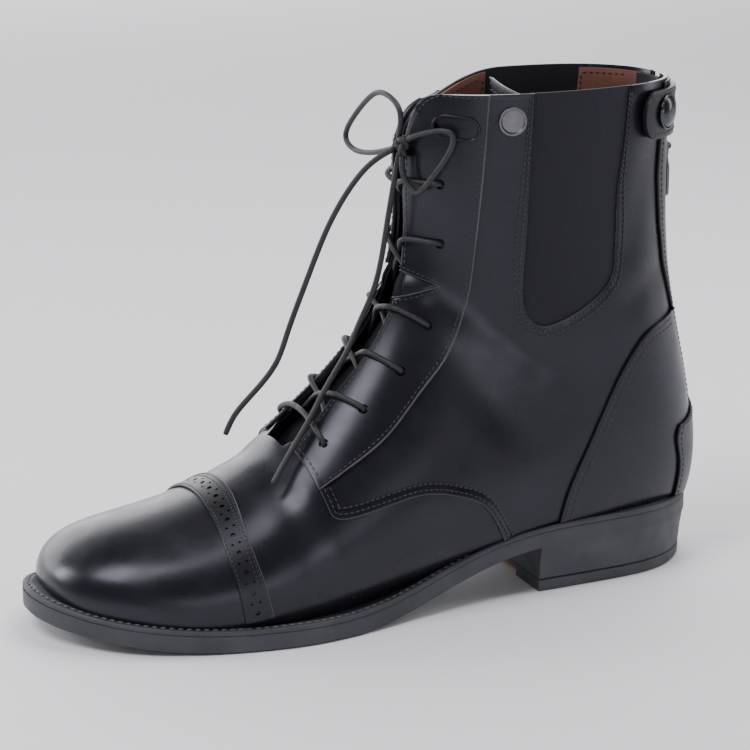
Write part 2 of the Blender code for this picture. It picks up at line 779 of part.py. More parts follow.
def insert_prism(front_x, inset, low_z, high_z):
    """Long rounded inset of the heel's walking face, open at the breast."""
    half = INSERT_HALF - inset
    outline = [(front_x, -half * 0.8), (front_x, half * 0.8)]
    for i in range(9):
        turn = math.pi / 2 - math.pi * i / 8
        outline.append((INSERT_CENTRE_X + (half + 2.0) * math.cos(turn), half * math.sin(turn)))
    points = [(x, y, z) for z in (low_z, high_z) for x, y in outline]
    return new_object("insert", points, prism_faces(len(outline)))


def dome(name, place, radius, low, high, rings, material, side=-1.0):
    """Round button on the last: rings of (share of radius, share of height)."""
    row, angle = side_place(*place)
    base = last_base(row, side * angle)
    normal = last_normal(row, side * angle)
    first = np.cross(normal, (0.0, 0.0, 1.0))
    first /= np.linalg.norm(first)
    second = np.cross(normal, first)
    sides = 12
    points = []
    for share, rise in rings:
        centre = base + normal * (low + (high - low) * rise)
        for i in range(sides):
            turn = 2.0 * math.pi * i / sides
            points.append(centre + radius * share * (math.cos(turn) * first + math.sin(turn) * second))
    faces = [tuple(range(sides)), tuple((len(rings) - 1) * sides + i for i in range(sides))]
    for i in range(len(rings) - 1):
        for j in range(sides):
            k = (j + 1) % sides
            faces.append((i * sides + j, i * sides + k, (i + 1) * sides + k, (i + 1) * sides + j))
    return rename(new_object(name, points, faces), name, material)


def tube(name, path, radius, sides=5):
    """Round cord along a path."""
    path = np.asarray(path, float)
    ahead = np.gradient(path, axis=0)
    ahead /= np.linalg.norm(ahead, axis=1, keepdims=True)
    normal = np.cross(ahead[0], (0.3, 0.2, 0.9))
    points = []
    for point, direction in zip(path, ahead):
        normal = normal - direction * np.dot(normal, direction)
        normal /= np.linalg.norm(normal)
        second = np.cross(direction, normal)
        for i in range(sides):
            turn = 2.0 * math.pi * i / sides
            points.append(point + radius * (math.cos(turn) * normal + math.sin(turn) * second))
    count = len(path)
    faces = []
    for i in range(count - 1):
        for j in range(sides):
            k = (j + 1) % sides
            faces.append((i * sides + j, i * sides + k, (i + 1) * sides + k, (i + 1) * sides + j))
    faces.append(tuple(range(sides)))
    faces.append(tuple((count - 1) * sides + i for i in range(sides)))
    return new_object(name, points, faces)


def throat_angle(row, share):
    """Angle at a share of the throat's half width."""
    return angle_out(row, share * float(np.interp(row, THROAT_ROWS[:, 0], THROAT_ROWS[:, 1])))


def lace_half(eyelet, side):
    """Lace from inside an eyelet up and over the facing to near the throat's middle."""
    angle = eyelet_angle(eyelet, side)
    edge = side * throat_angle(eyelet.row, 1.0)
    return [last_at(eyelet.row, angle, -1.2), last_at(eyelet.row, angle, LACE_LIFT - 0.2),
            last_at(eyelet.row, 0.85 * angle + 0.15 * edge, LACE_LIFT),
            last_at(eyelet.row, 0.35 * angle + 0.65 * edge, LACE_LIFT),
            last_at(eyelet.row, 0.6 * edge, LACE_LIFT)]


def lace_bar(eyelet, name, material):
    """Straight bar over the lowest eyelets."""
    left = lace_half(eyelet, -1.0)
    right = lace_half(eyelet, 1.0)
    middle = [last_at(eyelet.row, 0.0, LACE_LIFT)]
    return rename(tube(name, left + middle + right[::-1], LACE_RADIUS), name, material)


def lace_cross(lower, upper, name, material):
    """Crossing: each strand leaves an upper eyelet, crosses the throat and dips below the other facing's edge."""
    parts = []
    for side in (-1.0, 1.0):
        row_middle = 0.5 * (lower.row + upper.row)
        row_end = 0.35 * upper.row + 0.65 * lower.row
        path = lace_half(upper, side)
        far = -side * throat_angle(row_end, 0.45)
        path.append(last_at(row_middle, 0.0, LACE_LIFT - 0.4))
        path.append(last_at(row_end, far, 1.6))
        parts.append(tube(name, path, LACE_RADIUS))
    return rename(combine(parts[0], parts[1], "UNION"), name, material, 0.0)


KNOT = (7.7, -8.6, 184.6)
LOOP_MEDIAL = ((7.2, -6.6, 187.3), (6.4, -9.2, 198.5), (6.0, 4.0, 203.0), (6.0, 20.0, 199.0), (5.5, 38.0, 186.5),
               (5.5, 43.0, 178.5), (5.8, 33.0, 175.5), (6.0, 14.0, 178.0), (7.0, -3.6, 182.8))
LOOP_LATERAL = ((8.6, -12.4, 187.4), (10.2, -15.5, 189.1), (16.0, -22.7, 191.9), (20.5, -27.0, 191.0),
                (20.6, -27.4, 186.7), (17.4, -25.6, 179.7), (11.6, -19.6, 168.7), (9.4, -15.6, 167.8),
                (6.8, -12.6, 173.0), (6.1, -12.2, 180.7))
END_FRONT = ((4.9, -7.0, 183.0), (-3.6, -5.4, 178.0), (-12.6, -5.0, 168.7), (-22.3, -5.0, 153.4),
             (-30.9, -5.0, 134.0), (-38.9, -5.0, 114.5), (-44.6, -5.0, 100.8), (-53.9, -5.0, 90.2),
             (-61.7, -5.0, 82.2), (-66.0, -5.0, 74.4))
END_DOWN = ((6.6, -8.6, 181.7), (3.4, -8.6, 165.0), (0.5, -8.5, 148.0), (-3.5, -8.5, 130.0), (-10.0, -8.0, 115.0),
            (-17.0, -11.0, 104.0), (-27.0, -14.5, 91.8), (-35.6, -19.0, 81.5), (-44.0, -23.2, 72.5),
            (-55.6, -29.8, 60.2))


def make_lace(material):
    """Lace bar, crossings and the loose bow."""
    lace_bar(EYELETS[0], "lace_bar", material)
    for number in range(1, 6):
        lace_cross(EYELETS[number - 1], EYELETS[number], "lace_cross_%d" % number, material)
    knot_path = (np.array(KNOT) - (0.0, 2.6, -1.0), np.array(KNOT), np.array(KNOT) + (0.0, 2.6, -1.0))
    rename(tube("lace_knot", knot_path, KNOT_RADIUS), "lace_knot", material)
    for name, line, count in (("lace_loop_medial", LOOP_MEDIAL, 14), ("lace_loop_lateral", LOOP_LATERAL, 14),
                              ("lace_end_front", END_FRONT, 11), ("lace_end_down", END_DOWN, 11)):
        rename(tube(name, smooth_line(line, count), LACE_RADIUS), name, material)


def make_all():
    """Every piece of the boot."""
    for item in list(bpy.data.objects):
        bpy.data.objects.remove(item)
    leather = new_material("smooth_leather", (0.020, 0.020, 0.024), 0.34)
    trim = new_material("trim_leather", (0.018, 0.018, 0.022), 0.40)
    elastic = new_material("ribbed_elastic", (0.012, 0.012, 0.013), 0.85)
    rubber = new_material("sole_rubber", (0.035, 0.036, 0.042), 0.62)
    insert = new_material("insert_rubber", (0.45, 0.17, 0.13), 0.6)
    lining = new_material("brown_lining", (0.20, 0.085, 0.060), 0.6)
    cord = new_material("waxed_cord", (0.045, 0.046, 0.050), 0.55)
    metal = new_material("badge_metal", (0.55, 0.55, 0.57), 0.35, 1.0)
    dark_metal = new_material("snap_metal", (0.06, 0.06, 0.065), 0.3, 1.0)
    zip_cloth = new_material("zip_tape_black", (0.012, 0.012, 0.013), 0.7)

    make_upper(leather)
    make_sole(rubber, rubber, insert, rubber, lining)
    make_tongue(trim)
    make_gusset("gusset_lateral", -1.0, elastic)
    make_gusset("gusset_medial", 1.0, elastic)
    make_facing("facing_lateral", -1.0, leather)
    make_facing("facing_medial", 1.0, leather)
    make_counter(leather)
    make_back_strip("back_strip_lateral", -1.0, trim)
    make_back_strip("back_strip_medial", 1.0, trim)
    make_zip(zip_cloth)
    make_zip_slider(metal)
    make_zip_pull(metal)
    band = np.concatenate([smooth_line(BAND_FRONT, 6), smooth_line(BAND_BACK, 6)[::-1]])
    make_overlay("toe_band", band, -BEYOND, BEYOND, (SEAM_GAP, OUTER_FACE), trim)
    seam = ribbon(QUARTER_SEAM, QUARTER_EDGE_WIDTH, 14)
    edge_faces = (SEAM_GAP, SEAM_GAP + QUARTER_EDGE_THICK)
    make_overlay("quarter_edge_lateral", seam, -BEYOND, -8.0, edge_faces, leather)
    make_overlay("quarter_edge_medial", seam, 8.0, BEYOND, edge_faces, leather)
    second_low = OUTER_FACE + SEAM_GAP
    make_overlay("heel_tab", HEEL_TAB_LINE, -BEYOND, BEYOND, (second_low, second_low + HEEL_TAB_THICK), trim)
    strap_top = second_low + STRAP_THICK
    make_overlay("collar_strap", STRAP_LINE, -BEYOND, BEYOND, (second_low, strap_top), trim)
    snap_low = strap_top + SEAM_GAP
    dome("strap_snap", SNAP_POINT, SNAP_RADIUS, snap_low, snap_low + SNAP_HEIGHT,
         ((1.0, 0.0), (1.0, 0.35), (0.8, 0.8), (0.35, 1.0)), dark_metal)
    dome("badge", BADGE_POINT, BADGE_RADIUS, SEAM_GAP, SEAM_GAP + BADGE_HEIGHT,
         ((1.0, 0.0), (1.0, 0.7), (0.86, 1.0)), metal)
    make_lace(cord)


make_all()
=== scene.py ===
"""Looks of a left lace-up ankle boot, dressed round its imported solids.

Frame: metres, +Z up, toe towards -X, outer side of the foot towards -Y. The tables are in millimetres on the
last's own axes, and FRAME_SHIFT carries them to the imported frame. Every leather piece lies at an offset of
one surface, the last, whose places are counted as (row, angle): row 0 is the toe and row 11 the collar,
angle 0 is the instep line, negative angles are on the outer side and pi is the back.
"""
from __future__ import annotations

import logging
import math
from dataclasses import dataclass, field
from enum import Enum
from typing import Callable, NamedTuple, Sequence

import bpy
import numpy as np
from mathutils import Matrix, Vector

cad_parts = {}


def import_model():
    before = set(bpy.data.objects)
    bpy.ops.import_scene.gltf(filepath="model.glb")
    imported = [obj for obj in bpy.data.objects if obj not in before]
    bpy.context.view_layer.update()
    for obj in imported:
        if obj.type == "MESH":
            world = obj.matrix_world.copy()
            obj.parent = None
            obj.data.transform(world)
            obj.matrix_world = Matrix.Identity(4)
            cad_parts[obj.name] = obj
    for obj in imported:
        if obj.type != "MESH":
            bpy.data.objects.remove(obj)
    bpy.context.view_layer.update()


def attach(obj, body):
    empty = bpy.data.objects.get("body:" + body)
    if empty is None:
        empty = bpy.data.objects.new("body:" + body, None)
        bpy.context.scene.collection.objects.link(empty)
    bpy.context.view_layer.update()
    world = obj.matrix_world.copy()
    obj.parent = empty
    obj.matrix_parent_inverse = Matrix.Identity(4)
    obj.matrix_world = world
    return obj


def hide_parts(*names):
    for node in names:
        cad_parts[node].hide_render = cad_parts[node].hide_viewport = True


LOG = logging.getLogger("boot")
MM = 0.001
FRAME_SHIFT = np.array((0.57, 1.59, 0.0))
BOOT = "boot"
PULL = "pull"

Array = np.ndarray
Item = bpy.types.Object
Socket = bpy.types.NodeSocket
Material = bpy.types.Material
Colour = tuple[float, float, float]
Point = tuple[float, float, float]
Pair = tuple[float, float]
Place = Callable[[Array, Array], tuple[Array, Array]]
Height = Callable[[Array, Array], Array]

COLLAR_ROW = 11.0
THROAT_ROW = 4.5
WALL = 2.4
LEATHER = 1.3
OVERLAY_TOP = 1.4
OVERLAY = 1.3
STRAP_LOW = 1.6
STRAP_THICK = 2.1
LACE_RADIUS = 1.15
LACE_LIFT = OVERLAY_TOP + LACE_RADIUS + 0.1
TONGUE_DEPTH = 5.5
EYELET_RADIUS = 2.0
ZIP_HALF_SLOT = 3.6
ZIP_FOOT_Z = 52.0
ZIP_PIN = (130.2, 174.5)
HEEL_BREAST_X = 58.0
HEEL_LIFT = 5.0
WELT_THICK = 2.9
# Front of the collar, which rises, and its inner corner, which leans back and drops.
RIM_START = 10.3
RIM_LIFT = 3.3
LEAN_START = 9.2
INNER_LEAN = 6.5
INNER_DROP = 8.5
# Lining's window lies further back than the gusset on the inner side.
LINING_SHIFT = 9.0
LINING_SEAM_DROP = 3.4
STITCH = (2.0, 0.65, 0.5)
STITCH_PITCH = 2.4


class Side(Enum):
    """Outer and inner side of the foot, with the sign of y and of the angle there."""

    LATERAL = -1.0
    MEDIAL = 1.0

    @property
    def word(self) -> str:
        """The side's word in the name of a piece."""
        return self.name.lower()

    def put(self, places: Array) -> Array:
        """Rows and positive angles, put on this side."""
        return places * (1.0, self.value)


class Section(NamedTuple):
    """One section of the last: its two ends in side view, half width, side shift and shape."""

    top_x: float
    top_z: float
    low_x: float
    low_z: float
    half: float
    shift: float
    egg: float
    square: float


class Crease(NamedTuple):
    """One soft trough of the leather in side view; a negative depth is a ridge."""

    start: Pair
    end: Pair
    width: float
    depth: float


class Eyelet(NamedTuple):
    """One eyelet: row along the last and distance from the instep line."""

    row: float
    out: float


class HeelLevel(NamedTuple):
    """One ring of a heel piece: inset from the sole, share of the sole's own height, and rise above that."""

    inset: float
    follow: float
    rise: float


class FreeRun(NamedTuple):
    """One free run of the lace: its node, its route from the knot and what is on its far end."""

    node: str
    route: Sequence[Point]
    far_end: str


class SoftBox(NamedTuple):
    """One soft studio light: place, point that it faces, its two sides in metres and its power."""

    name: str
    place: Point
    aim: Point
    size: Pair
    watts: float


LAST = (
    Section(-138.5, 22.0, -138.5, 22.0, 0.0, 8.0, 0.00, 0.00),
    Section(-131.0, 32.0, -136.0, 10.0, 22.0, 8.0, 0.00, 0.15),
    Section(-113.0, 39.5, -122.0, 2.0, 36.0, 6.0, 0.05, 0.15),
    Section(-86.0, 46.0, -96.0, -8.0, 44.5, 2.0, 0.08, 0.12),
    Section(-57.0, 59.0, -62.0, -12.0, 47.0, -1.0, 0.10, 0.06),
    Section(-32.0, 80.0, -22.0, -8.0, 44.0, -2.0, 0.14, 0.02),
    Section(-10.0, 103.0, 24.0, 0.0, 39.0, -2.0, 0.18, 0.02),
    Section(4.0, 127.0, 82.0, 2.0, 35.0, -1.0, 0.20, 0.05),
    Section(10.0, 150.0, 134.0, 18.0, 33.0, 0.0, 0.16, 0.10),
    Section(10.5, 171.0, 139.5, 70.0, 33.0, 0.0, 0.02, 0.12),
    Section(11.0, 188.0, 127.5, 130.0, 33.5, 0.0, 0.00, 0.13),
    Section(13.0, 202.0, 126.0, 205.0, 34.0, 0.0, 0.00, 0.14),
)

# Sole outline as (x, outer y, inner y), toe and heel points first and last.
SOLE = (
    (-145.5, 7.0, 7.0), (-139.5, -12.5, 25.5), (-122.0, -30.0, 38.5), (-95.0, -43.5, 46.5),
    (-60.0, -51.3, 48.5), (-30.0, -50.0, 43.5), (0.0, -42.8, 36.0), (30.0, -37.6, 33.5),
    (60.0, -35.8, 34.0), (90.0, -34.6, 34.2), (115.0, -31.0, 31.5), (133.0, -19.0, 19.5), (141.5, 0.0, 0.0),
)

# Sole heights as (underside, feather line), every PROFILE_STEP from PROFILE_FIRST_X.
PROFILE_FIRST_X = -150.0
PROFILE_STEP = 24.0
PROFILE = (
    (10.2, 20.7), (4.6, 15.1), (1.3, 12.0), (-0.3, 10.6), (-0.7, 10.4), (-0.3, 10.6), (2.9, 13.5),
    (9.8, 20.4), (16.6, 26.8), (19.8, 29.8), (20.0, 30.4), (20.0, 30.5), (20.0, 30.5), (20.0, 30.5),
)

EYELETS = (
    Eyelet(4.97, 22.5), Eyelet(5.62, 22.3), Eyelet(6.32, 21.4), Eyelet(7.06, 19.3),
    Eyelet(8.28, 17.2), Eyelet(9.32, 19.0), Eyelet(10.42, 17.7),
)
LACED_PAIRS = 6

# Half width of the throat, as (row, half), and its upper corner on either side.
THROAT = (
    (4.50, 14.5), (4.62, 15.0), (4.85, 14.5), (5.40, 10.5), (6.30, 9.5), (7.10, 8.0), (7.80, 5.5),
    (8.60, 4.5), (9.60, 5.0),
)
THROAT_CORNER = {
    Side.LATERAL: ((10.10, 6.0), (10.40, 7.0), (10.62, 8.6), (10.80, 11.0), (10.92, 14.0), (11.00, 19.0)),
    Side.MEDIAL: ((10.10, 6.5), (10.40, 8.5), (10.62, 11.0), (10.80, 14.0), (10.92, 17.5), (11.00, 22.0)),
}

# Pattern lines in side view, as (x, z).
FACING_SEAM = ((36.0, 207.0), (33.0, 162.0), (31.5, 133.0), (26.8, 115.8), (19.3, 102.2),
               (8.3, 91.0), (-6.7, 76.6), (-21.5, 66.7), (-38.5, 57.0))
GUSSET_LINE = ((53.5, 212.0), (52.0, 179.0), (51.2, 150.0), (51.0, 124.0), (55.0, 114.0), (63.0, 112.0),
               (79.0, 119.5), (87.5, 127.0), (90.5, 137.0), (91.0, 163.0), (93.8, 183.0), (96.0, 212.0))
COUNTER_SEAM = ((127.0, 109.0), (112.0, 105.5), (103.0, 100.0), (95.0, 90.0), (88.2, 77.7), (77.4, 56.8),
                (69.5, 40.0), (66.0, 20.0))
QUARTER_SEAM = ((-38.2, 57.0), (-36.6, 50.7), (-31.3, 46.8), (-10.9, 50.0), (6.1, 51.6), (21.2, 47.8),
                (32.2, 40.9), (42.0, 25.0))
BAND_FRONT = ((-75.0, 60.0), (-77.0, 46.0), (-77.0, 32.0), (-72.5, 5.0))
BAND_BACK = ((-64.0, 60.0), (-68.0, 46.0), (-67.0, 32.0), (-61.0, 5.0))
TONGUE_EDGE = ((-53.0, 36.0), (-28.0, 60.0), (3.0, 84.0), (22.0, 108.0), (31.0, 136.0), (33.0, 170.0),
               (34.0, 201.0))
# Flex notch: upper and lower front corners, tip, and the heights that it takes from the facing's edge.
NOTCH_UPPER = (1.0, 137.4)
NOTCH_LOWER = (-1.0, 121.5)
NOTCH_TIP = (20.3, 129.0)
NOTCH_Z = (122.8, 136.2)
INSERT_TOP = ((10.2, 137.4), (15.0, 134.8), (23.0, 131.0))
INSERT_LOW = ((5.6, 120.8), (13.0, 123.2), (23.0, 126.8))
HEEL_TAB_FRONT = ((126.0, 61.0), (124.0, 55.0), (126.5, 44.0), (125.5, 29.0))
HEEL_TAB_BACK_Z = (67.5, 29.0)
# Outer edge of the strips beside the zip seen from behind, as (y, z).
BACK_STRIP_EDGE = ((21.0, 205.0), (21.8, 183.0), (22.6, 167.0), (21.4, 147.0), (19.6, 131.0), (15.8, 111.0),
                   (13.6, 90.0), (12.8, 48.6))
STRAP_Z = (183.0, 202.4)
STRAP_END = (101.5, 193.0)
SNAP_POINT = (113.5, 192.5)
BADGE_POINT = (44.3, 193.5)

CREASES = (
    Crease((-54.0, 66.0), (-44.0, 22.0), 5.0, 0.55),
    Crease((-47.0, 70.0), (-36.0, 30.0), 4.5, -0.35),
    Crease((20.0, 126.0), (58.0, 96.0), 8.0, 0.7),
    Crease((30.0, 112.0), (62.0, 84.0), 8.0, -0.45),
    Crease((22.0, 100.0), (50.0, 66.0), 9.0, 0.5),
    Crease((-5.0, 132.0), (14.0, 126.0), 4.0, -0.6),
    Crease((98.0, 140.0), (108.0, 176.0), 7.0, 0.45),
    Crease((100.0, 118.0), (116.0, 128.0), 6.0, 0.5),
    Crease((44.0, 120.0), (44.0, 196.0), 5.5, -0.4),
)

# Profiles: buttons as (radius, height), welt as (inset, height), pull as (y, z).
SNAP_PROFILE = (
    (0.0, 2.7), (2.2, 2.62), (4.0, 2.2), (5.4, 1.5), (6.1, 0.9), (6.3, 0.55), (6.45, 0.9), (6.8, 1.0),
    (7.1, 0.75), (7.15, 0.3), (7.0, -0.2),
)
BADGE_PROFILE = ((0.0, 0.75), (3.6, 0.75), (4.2, 0.78), (4.5, 0.95), (4.7, 1.25), (5.1, 1.35), (5.5, 1.2),
                 (5.6, 0.8), (5.5, -0.2))
WELT_PROFILE = (
    (12.0, -WELT_THICK), (0.35, -WELT_THICK - 0.3), (0.1, -WELT_THICK), (0.1, -2.1), (0.5, -1.55),
    (1.3, -1.25), (1.8, -1.3), (2.2, -1.6), (2.7, -1.6), (3.1, -1.25), (3.9, -1.35), (4.8, -1.7),
    (5.8, -2.0), (7.5, -2.1), (12.0, -2.1),
)
PULL_OUTLINE = ((0.0, 1.75), (1.2, 1.4), (2.1, 0.2), (2.2, -2.5), (1.9, -5.5), (3.1, -8.5), (3.3, -12.0),
                (3.3, -18.5), (2.6, -20.8), (1.2, -21.5), (0.0, -21.6))
# Edge of the outsole as (share of its height, pull inwards), from below.
OUTSOLE_EDGE = ((0.12, 0.1), (0.3, 0.25), (0.6, 0.25), (0.88, 0.1), (1.0, 0.4))
HEEL_BLOCK = (HeelLevel(2.7, 0.0, HEEL_LIFT + 0.25), HeelLevel(2.1, 0.0, HEEL_LIFT + 0.7),
              HeelLevel(1.5, 0.5, 0.5 * HEEL_LIFT), HeelLevel(0.5, 1.0, -1.0), HeelLevel(0.3, 1.0, 0.05))
HEEL_FACE = (HeelLevel(2.9, 0.0, 0.0), HeelLevel(2.3, 0.0, 0.5), HeelLevel(2.1, 0.0, 1.0),
             HeelLevel(2.1, 0.0, HEEL_LIFT - 0.5), HeelLevel(2.6, 0.0, HEEL_LIFT))

KNOT = (7.7, -8.6, 184.6)
LOOP_MEDIAL = (
    (7.2, -6.6, 187.3), (6.4, -9.2, 198.5), (6.0, 4.0, 203.0), (6.0, 20.0, 199.0), (5.5, 38.0, 186.5),
    (5.5, 43.0, 178.5), (5.8, 33.0, 175.5), (6.0, 14.0, 178.0), (7.0, -3.6, 182.8),
)
LOOP_LATERAL = ((8.6, -12.4, 187.4), (10.2, -15.5, 189.1), (16.0, -22.7, 191.9), (20.5, -27.0, 191.0),
                (20.6, -27.4, 186.7), (17.4, -25.6, 179.7), (11.6, -19.6, 168.7), (9.4, -15.6, 167.8),
                (6.8, -12.6, 173.0), (6.1, -12.2, 180.7))
END_FRONT = ((4.9, -7.0, 183.0), (-3.6, -5.4, 178.0), (-12.6, -5.0, 168.7), (-22.3, -5.0, 153.4),
             (-30.9, -5.0, 134.0), (-38.9, -5.0, 114.5), (-44.6, -5.0, 100.8), (-53.9, -5.0, 90.2),
             (-61.7, -5.0, 82.2), (-66.0, -5.0, 74.4))
END_DOWN = (
    (6.6, -8.6, 181.7), (3.4, -8.6, 165.0), (0.5, -8.5, 148.0), (-3.5, -8.5, 130.0), (-10.0, -8.0, 115.0),
    (-17.0, -11.0, 104.0), (-27.0, -14.5, 91.8), (-35.6, -19.0, 81.5), (-44.0, -23.2, 72.5),
    (-55.6, -29.8, 60.2),
)
FREE_RUNS = (
    FreeRun("lace_loop_medial", LOOP_MEDIAL, "knot"), FreeRun("lace_loop_lateral", LOOP_LATERAL, "knot"),
    FreeRun("lace_end_front", END_FRONT, "bare"), FreeRun("lace_end_down", END_DOWN, "bare"),
)

SOFT_BOXES = (
    SoftBox("top_light", (0.5, 0.25, 1.40), (0.0, 0.0, 0.0), (0.9, 0.9), 15.0),
    SoftBox("key_light", (-0.71, -0.20, 1.16), (-0.05, 0.0, 0.08), (0.6, 0.6), 12.0),
    SoftBox("toe_light", (-1.02, 0.69, 0.47), (-0.1, 0.0, 0.05), (0.3, 0.45), 6.0),
    SoftBox("back_light", (1.0, -0.15, 0.55), (0.08, 0.0, 0.1), (0.22, 1.0), 3.5),
    SoftBox("fill_light", (-0.05, -1.6, 0.28), (0.0, 0.0, 0.1), (1.6, 0.35), 5.2),
    SoftBox("backdrop_light", (0.0, 2.5, 0.7), (0.0, 0.0, 0.1), (4.5, 1.2), 66.0),
)


class Spline:
    """Natural cubic spline through equally spaced rows of values."""

    def __init__(self, rows: Sequence[Sequence[float]]) -> None:
        """Solve the spline's bends.

        Args:
            rows: Values at the places 0, 1, 2 and so on.
        """
        self.rows = np.asarray(rows, float)
        count = len(self.rows)
        system = np.eye(count)
        right = np.zeros_like(self.rows)
        for i in range(1, count - 1):
            system[i, i - 1:i + 2] = (1.0, 4.0, 1.0)
            right[i] = 6.0 * (self.rows[i - 1] - 2.0 * self.rows[i] + self.rows[i + 1])
        self.bend = np.linalg.solve(system, right)

    def at(self, place: Array) -> Array:
        """Values at places counted in rows.

        Args:
            place: Places from 0 to the last row.

        Returns:
            The values, with one more axis than place.
        """
        place = np.asarray(place, float)
        i = np.clip(np.floor(place).astype(int), 0, len(self.rows) - 2)
        f = (place - i)[..., None]
        g = 1.0 - f
        bent = ((g ** 3 - g) * self.bend[i] + (f ** 3 - f) * self.bend[i + 1]) / 6.0
        return g * self.rows[i] + f * self.rows[i + 1] + bent

    def line(self, count: int) -> Array:
        """Count points spaced evenly by place over the whole spline."""
        return self.at(np.linspace(0.0, len(self.rows) - 1.0, count))


def smooth_step(share: Array) -> Array:
    """Soft ramp from 0 to 1 as share goes from 0 to 1."""
    share = np.clip(share, 0.0, 1.0)
    return share * share * (3.0 - 2.0 * share)


def unit(vectors: Array) -> Array:
    """Vectors scaled to length 1."""
    return vectors / np.maximum(np.linalg.norm(vectors, axis=-1, keepdims=True), 1e-9)


def path_lengths(points: Array) -> Array:
    """Length along a polyline at each of its points."""
    return np.concatenate([[0.0], np.cumsum(np.linalg.norm(np.diff(points, axis=0), axis=1))])


def columns_at(wanted: Array, known: Array, table: Array) -> Array:
    """Columns of a table between its rows, which stand at known places."""
    return np.stack([np.interp(wanted, known, column) for column in np.transpose(table)], -1)


def even_path(points: Array, step: float) -> Array:
    """Points spaced evenly by length along a polyline.

    Args:
        points: Dense polyline.
        step: Distance wanted between the new points.

    Returns:
        The new points, both ends kept.
    """
    lengths = path_lengths(points)
    count = max(2, int(round(lengths[-1] / step)) + 1)
    return columns_at(np.linspace(0.0, lengths[-1], count), lengths, points)


def halve(low: Array, high: Array, short: Callable[[Array], Array]) -> Array:
    """Find by halving where a test stops to hold.

    Args:
        low: Values at which the test holds.
        high: Values at which it doesn't.
        short: The test.

    Returns:
        The greatest values found to hold.
    """
    for _ in range(40):
        middle = 0.5 * (low + high)
        held = short(middle)
        low = np.where(held, middle, low)
        high = np.where(held, high, middle)
    return low


def inset_line(line: Array, inset: float) -> Array:
    """Side-view line moved to its left by an inset in millimetres."""
    ahead = np.gradient(line, axis=0)
    return line + unit(np.stack([-ahead[:, 1], ahead[:, 0]], 1)) * inset


def gusset_outline(count: int, grow: float) -> Array:
    """Outline of the gusset's window in side view, grown all round."""
    outline = Spline(GUSSET_LINE).line(count)
    return outline + unit(outline - outline.mean(0)) * grow


def below_collar(places: Array) -> Array:
    """Places with their rows kept at or below the collar."""
    return np.minimum(places, (COLLAR_ROW, math.inf))


class SoleForm:
    """Outline and heights of the sole."""

    def __init__(self) -> None:
        """Make the outline's and the profile's splines, the outline mirrored past its ends."""
        toe, heel = SOLE[1], SOLE[-2]
        self.outline = Spline([(toe[0], toe[2], toe[1]), *SOLE, (heel[0], heel[2], heel[1])])
        self.profile = Spline(PROFILE)

    def heights(self, x: Array) -> Array:
        """Both heights of the profile at x."""
        return self.profile.at((np.asarray(x, float) - PROFILE_FIRST_X) / PROFILE_STEP)

    def under(self, x: Array) -> Array:
        """Underside of the sole at x, flat on the floor under the ball of the foot."""
        return np.maximum(self.heights(x)[..., 0], 0.0)

    def feather(self, x: Array) -> Array:
        """Height at x of the line where the upper meets the sole."""
        return self.heights(x)[..., 1]

    def edge(self, count: int) -> tuple[Array, Array]:
        """Closed outline in plan.

        Args:
            count: Number of points.

        Returns:
            Points as (x, y) from the toe along the inner side, and their normals into the sole.
        """
        values = self.outline.at(np.linspace(1.0, len(SOLE), 1500))
        ring = np.concatenate([values[:, (0, 2)], values[::-1][1:-1, (0, 1)]])
        closed = np.concatenate([ring, ring[:1]])
        points = even_path(closed, path_lengths(closed)[-1] / count)[:-1]
        ahead = np.roll(points, -1, 0) - np.roll(points, 1, 0)
        return points, unit(np.stack([ahead[:, 1], -ahead[:, 0]], 1))

    def stations(self, count: int, fine: Sequence[float] = ()) -> Array:
        """Rows of (x, outer y, inner y), close together at the round ends.

        Args:
            count: Number of rows over the whole length.
            fine: More rows at these places along x.

        Returns:
            The rows from toe to heel.
        """
        share = np.linspace(0.0, 1.0, count)
        bowed = 0.4 * (1.0 - np.cos(math.pi * share)) + 0.2 * share
        places = 1.0 + (len(SOLE) - 1.0) * bowed
        dense = np.linspace(1.0, len(SOLE), 4000)
        more = np.interp(fine, self.outline.at(dense)[:, 0], dense) if len(fine) else []
        return self.outline.at(np.unique(np.concatenate([places, more])))


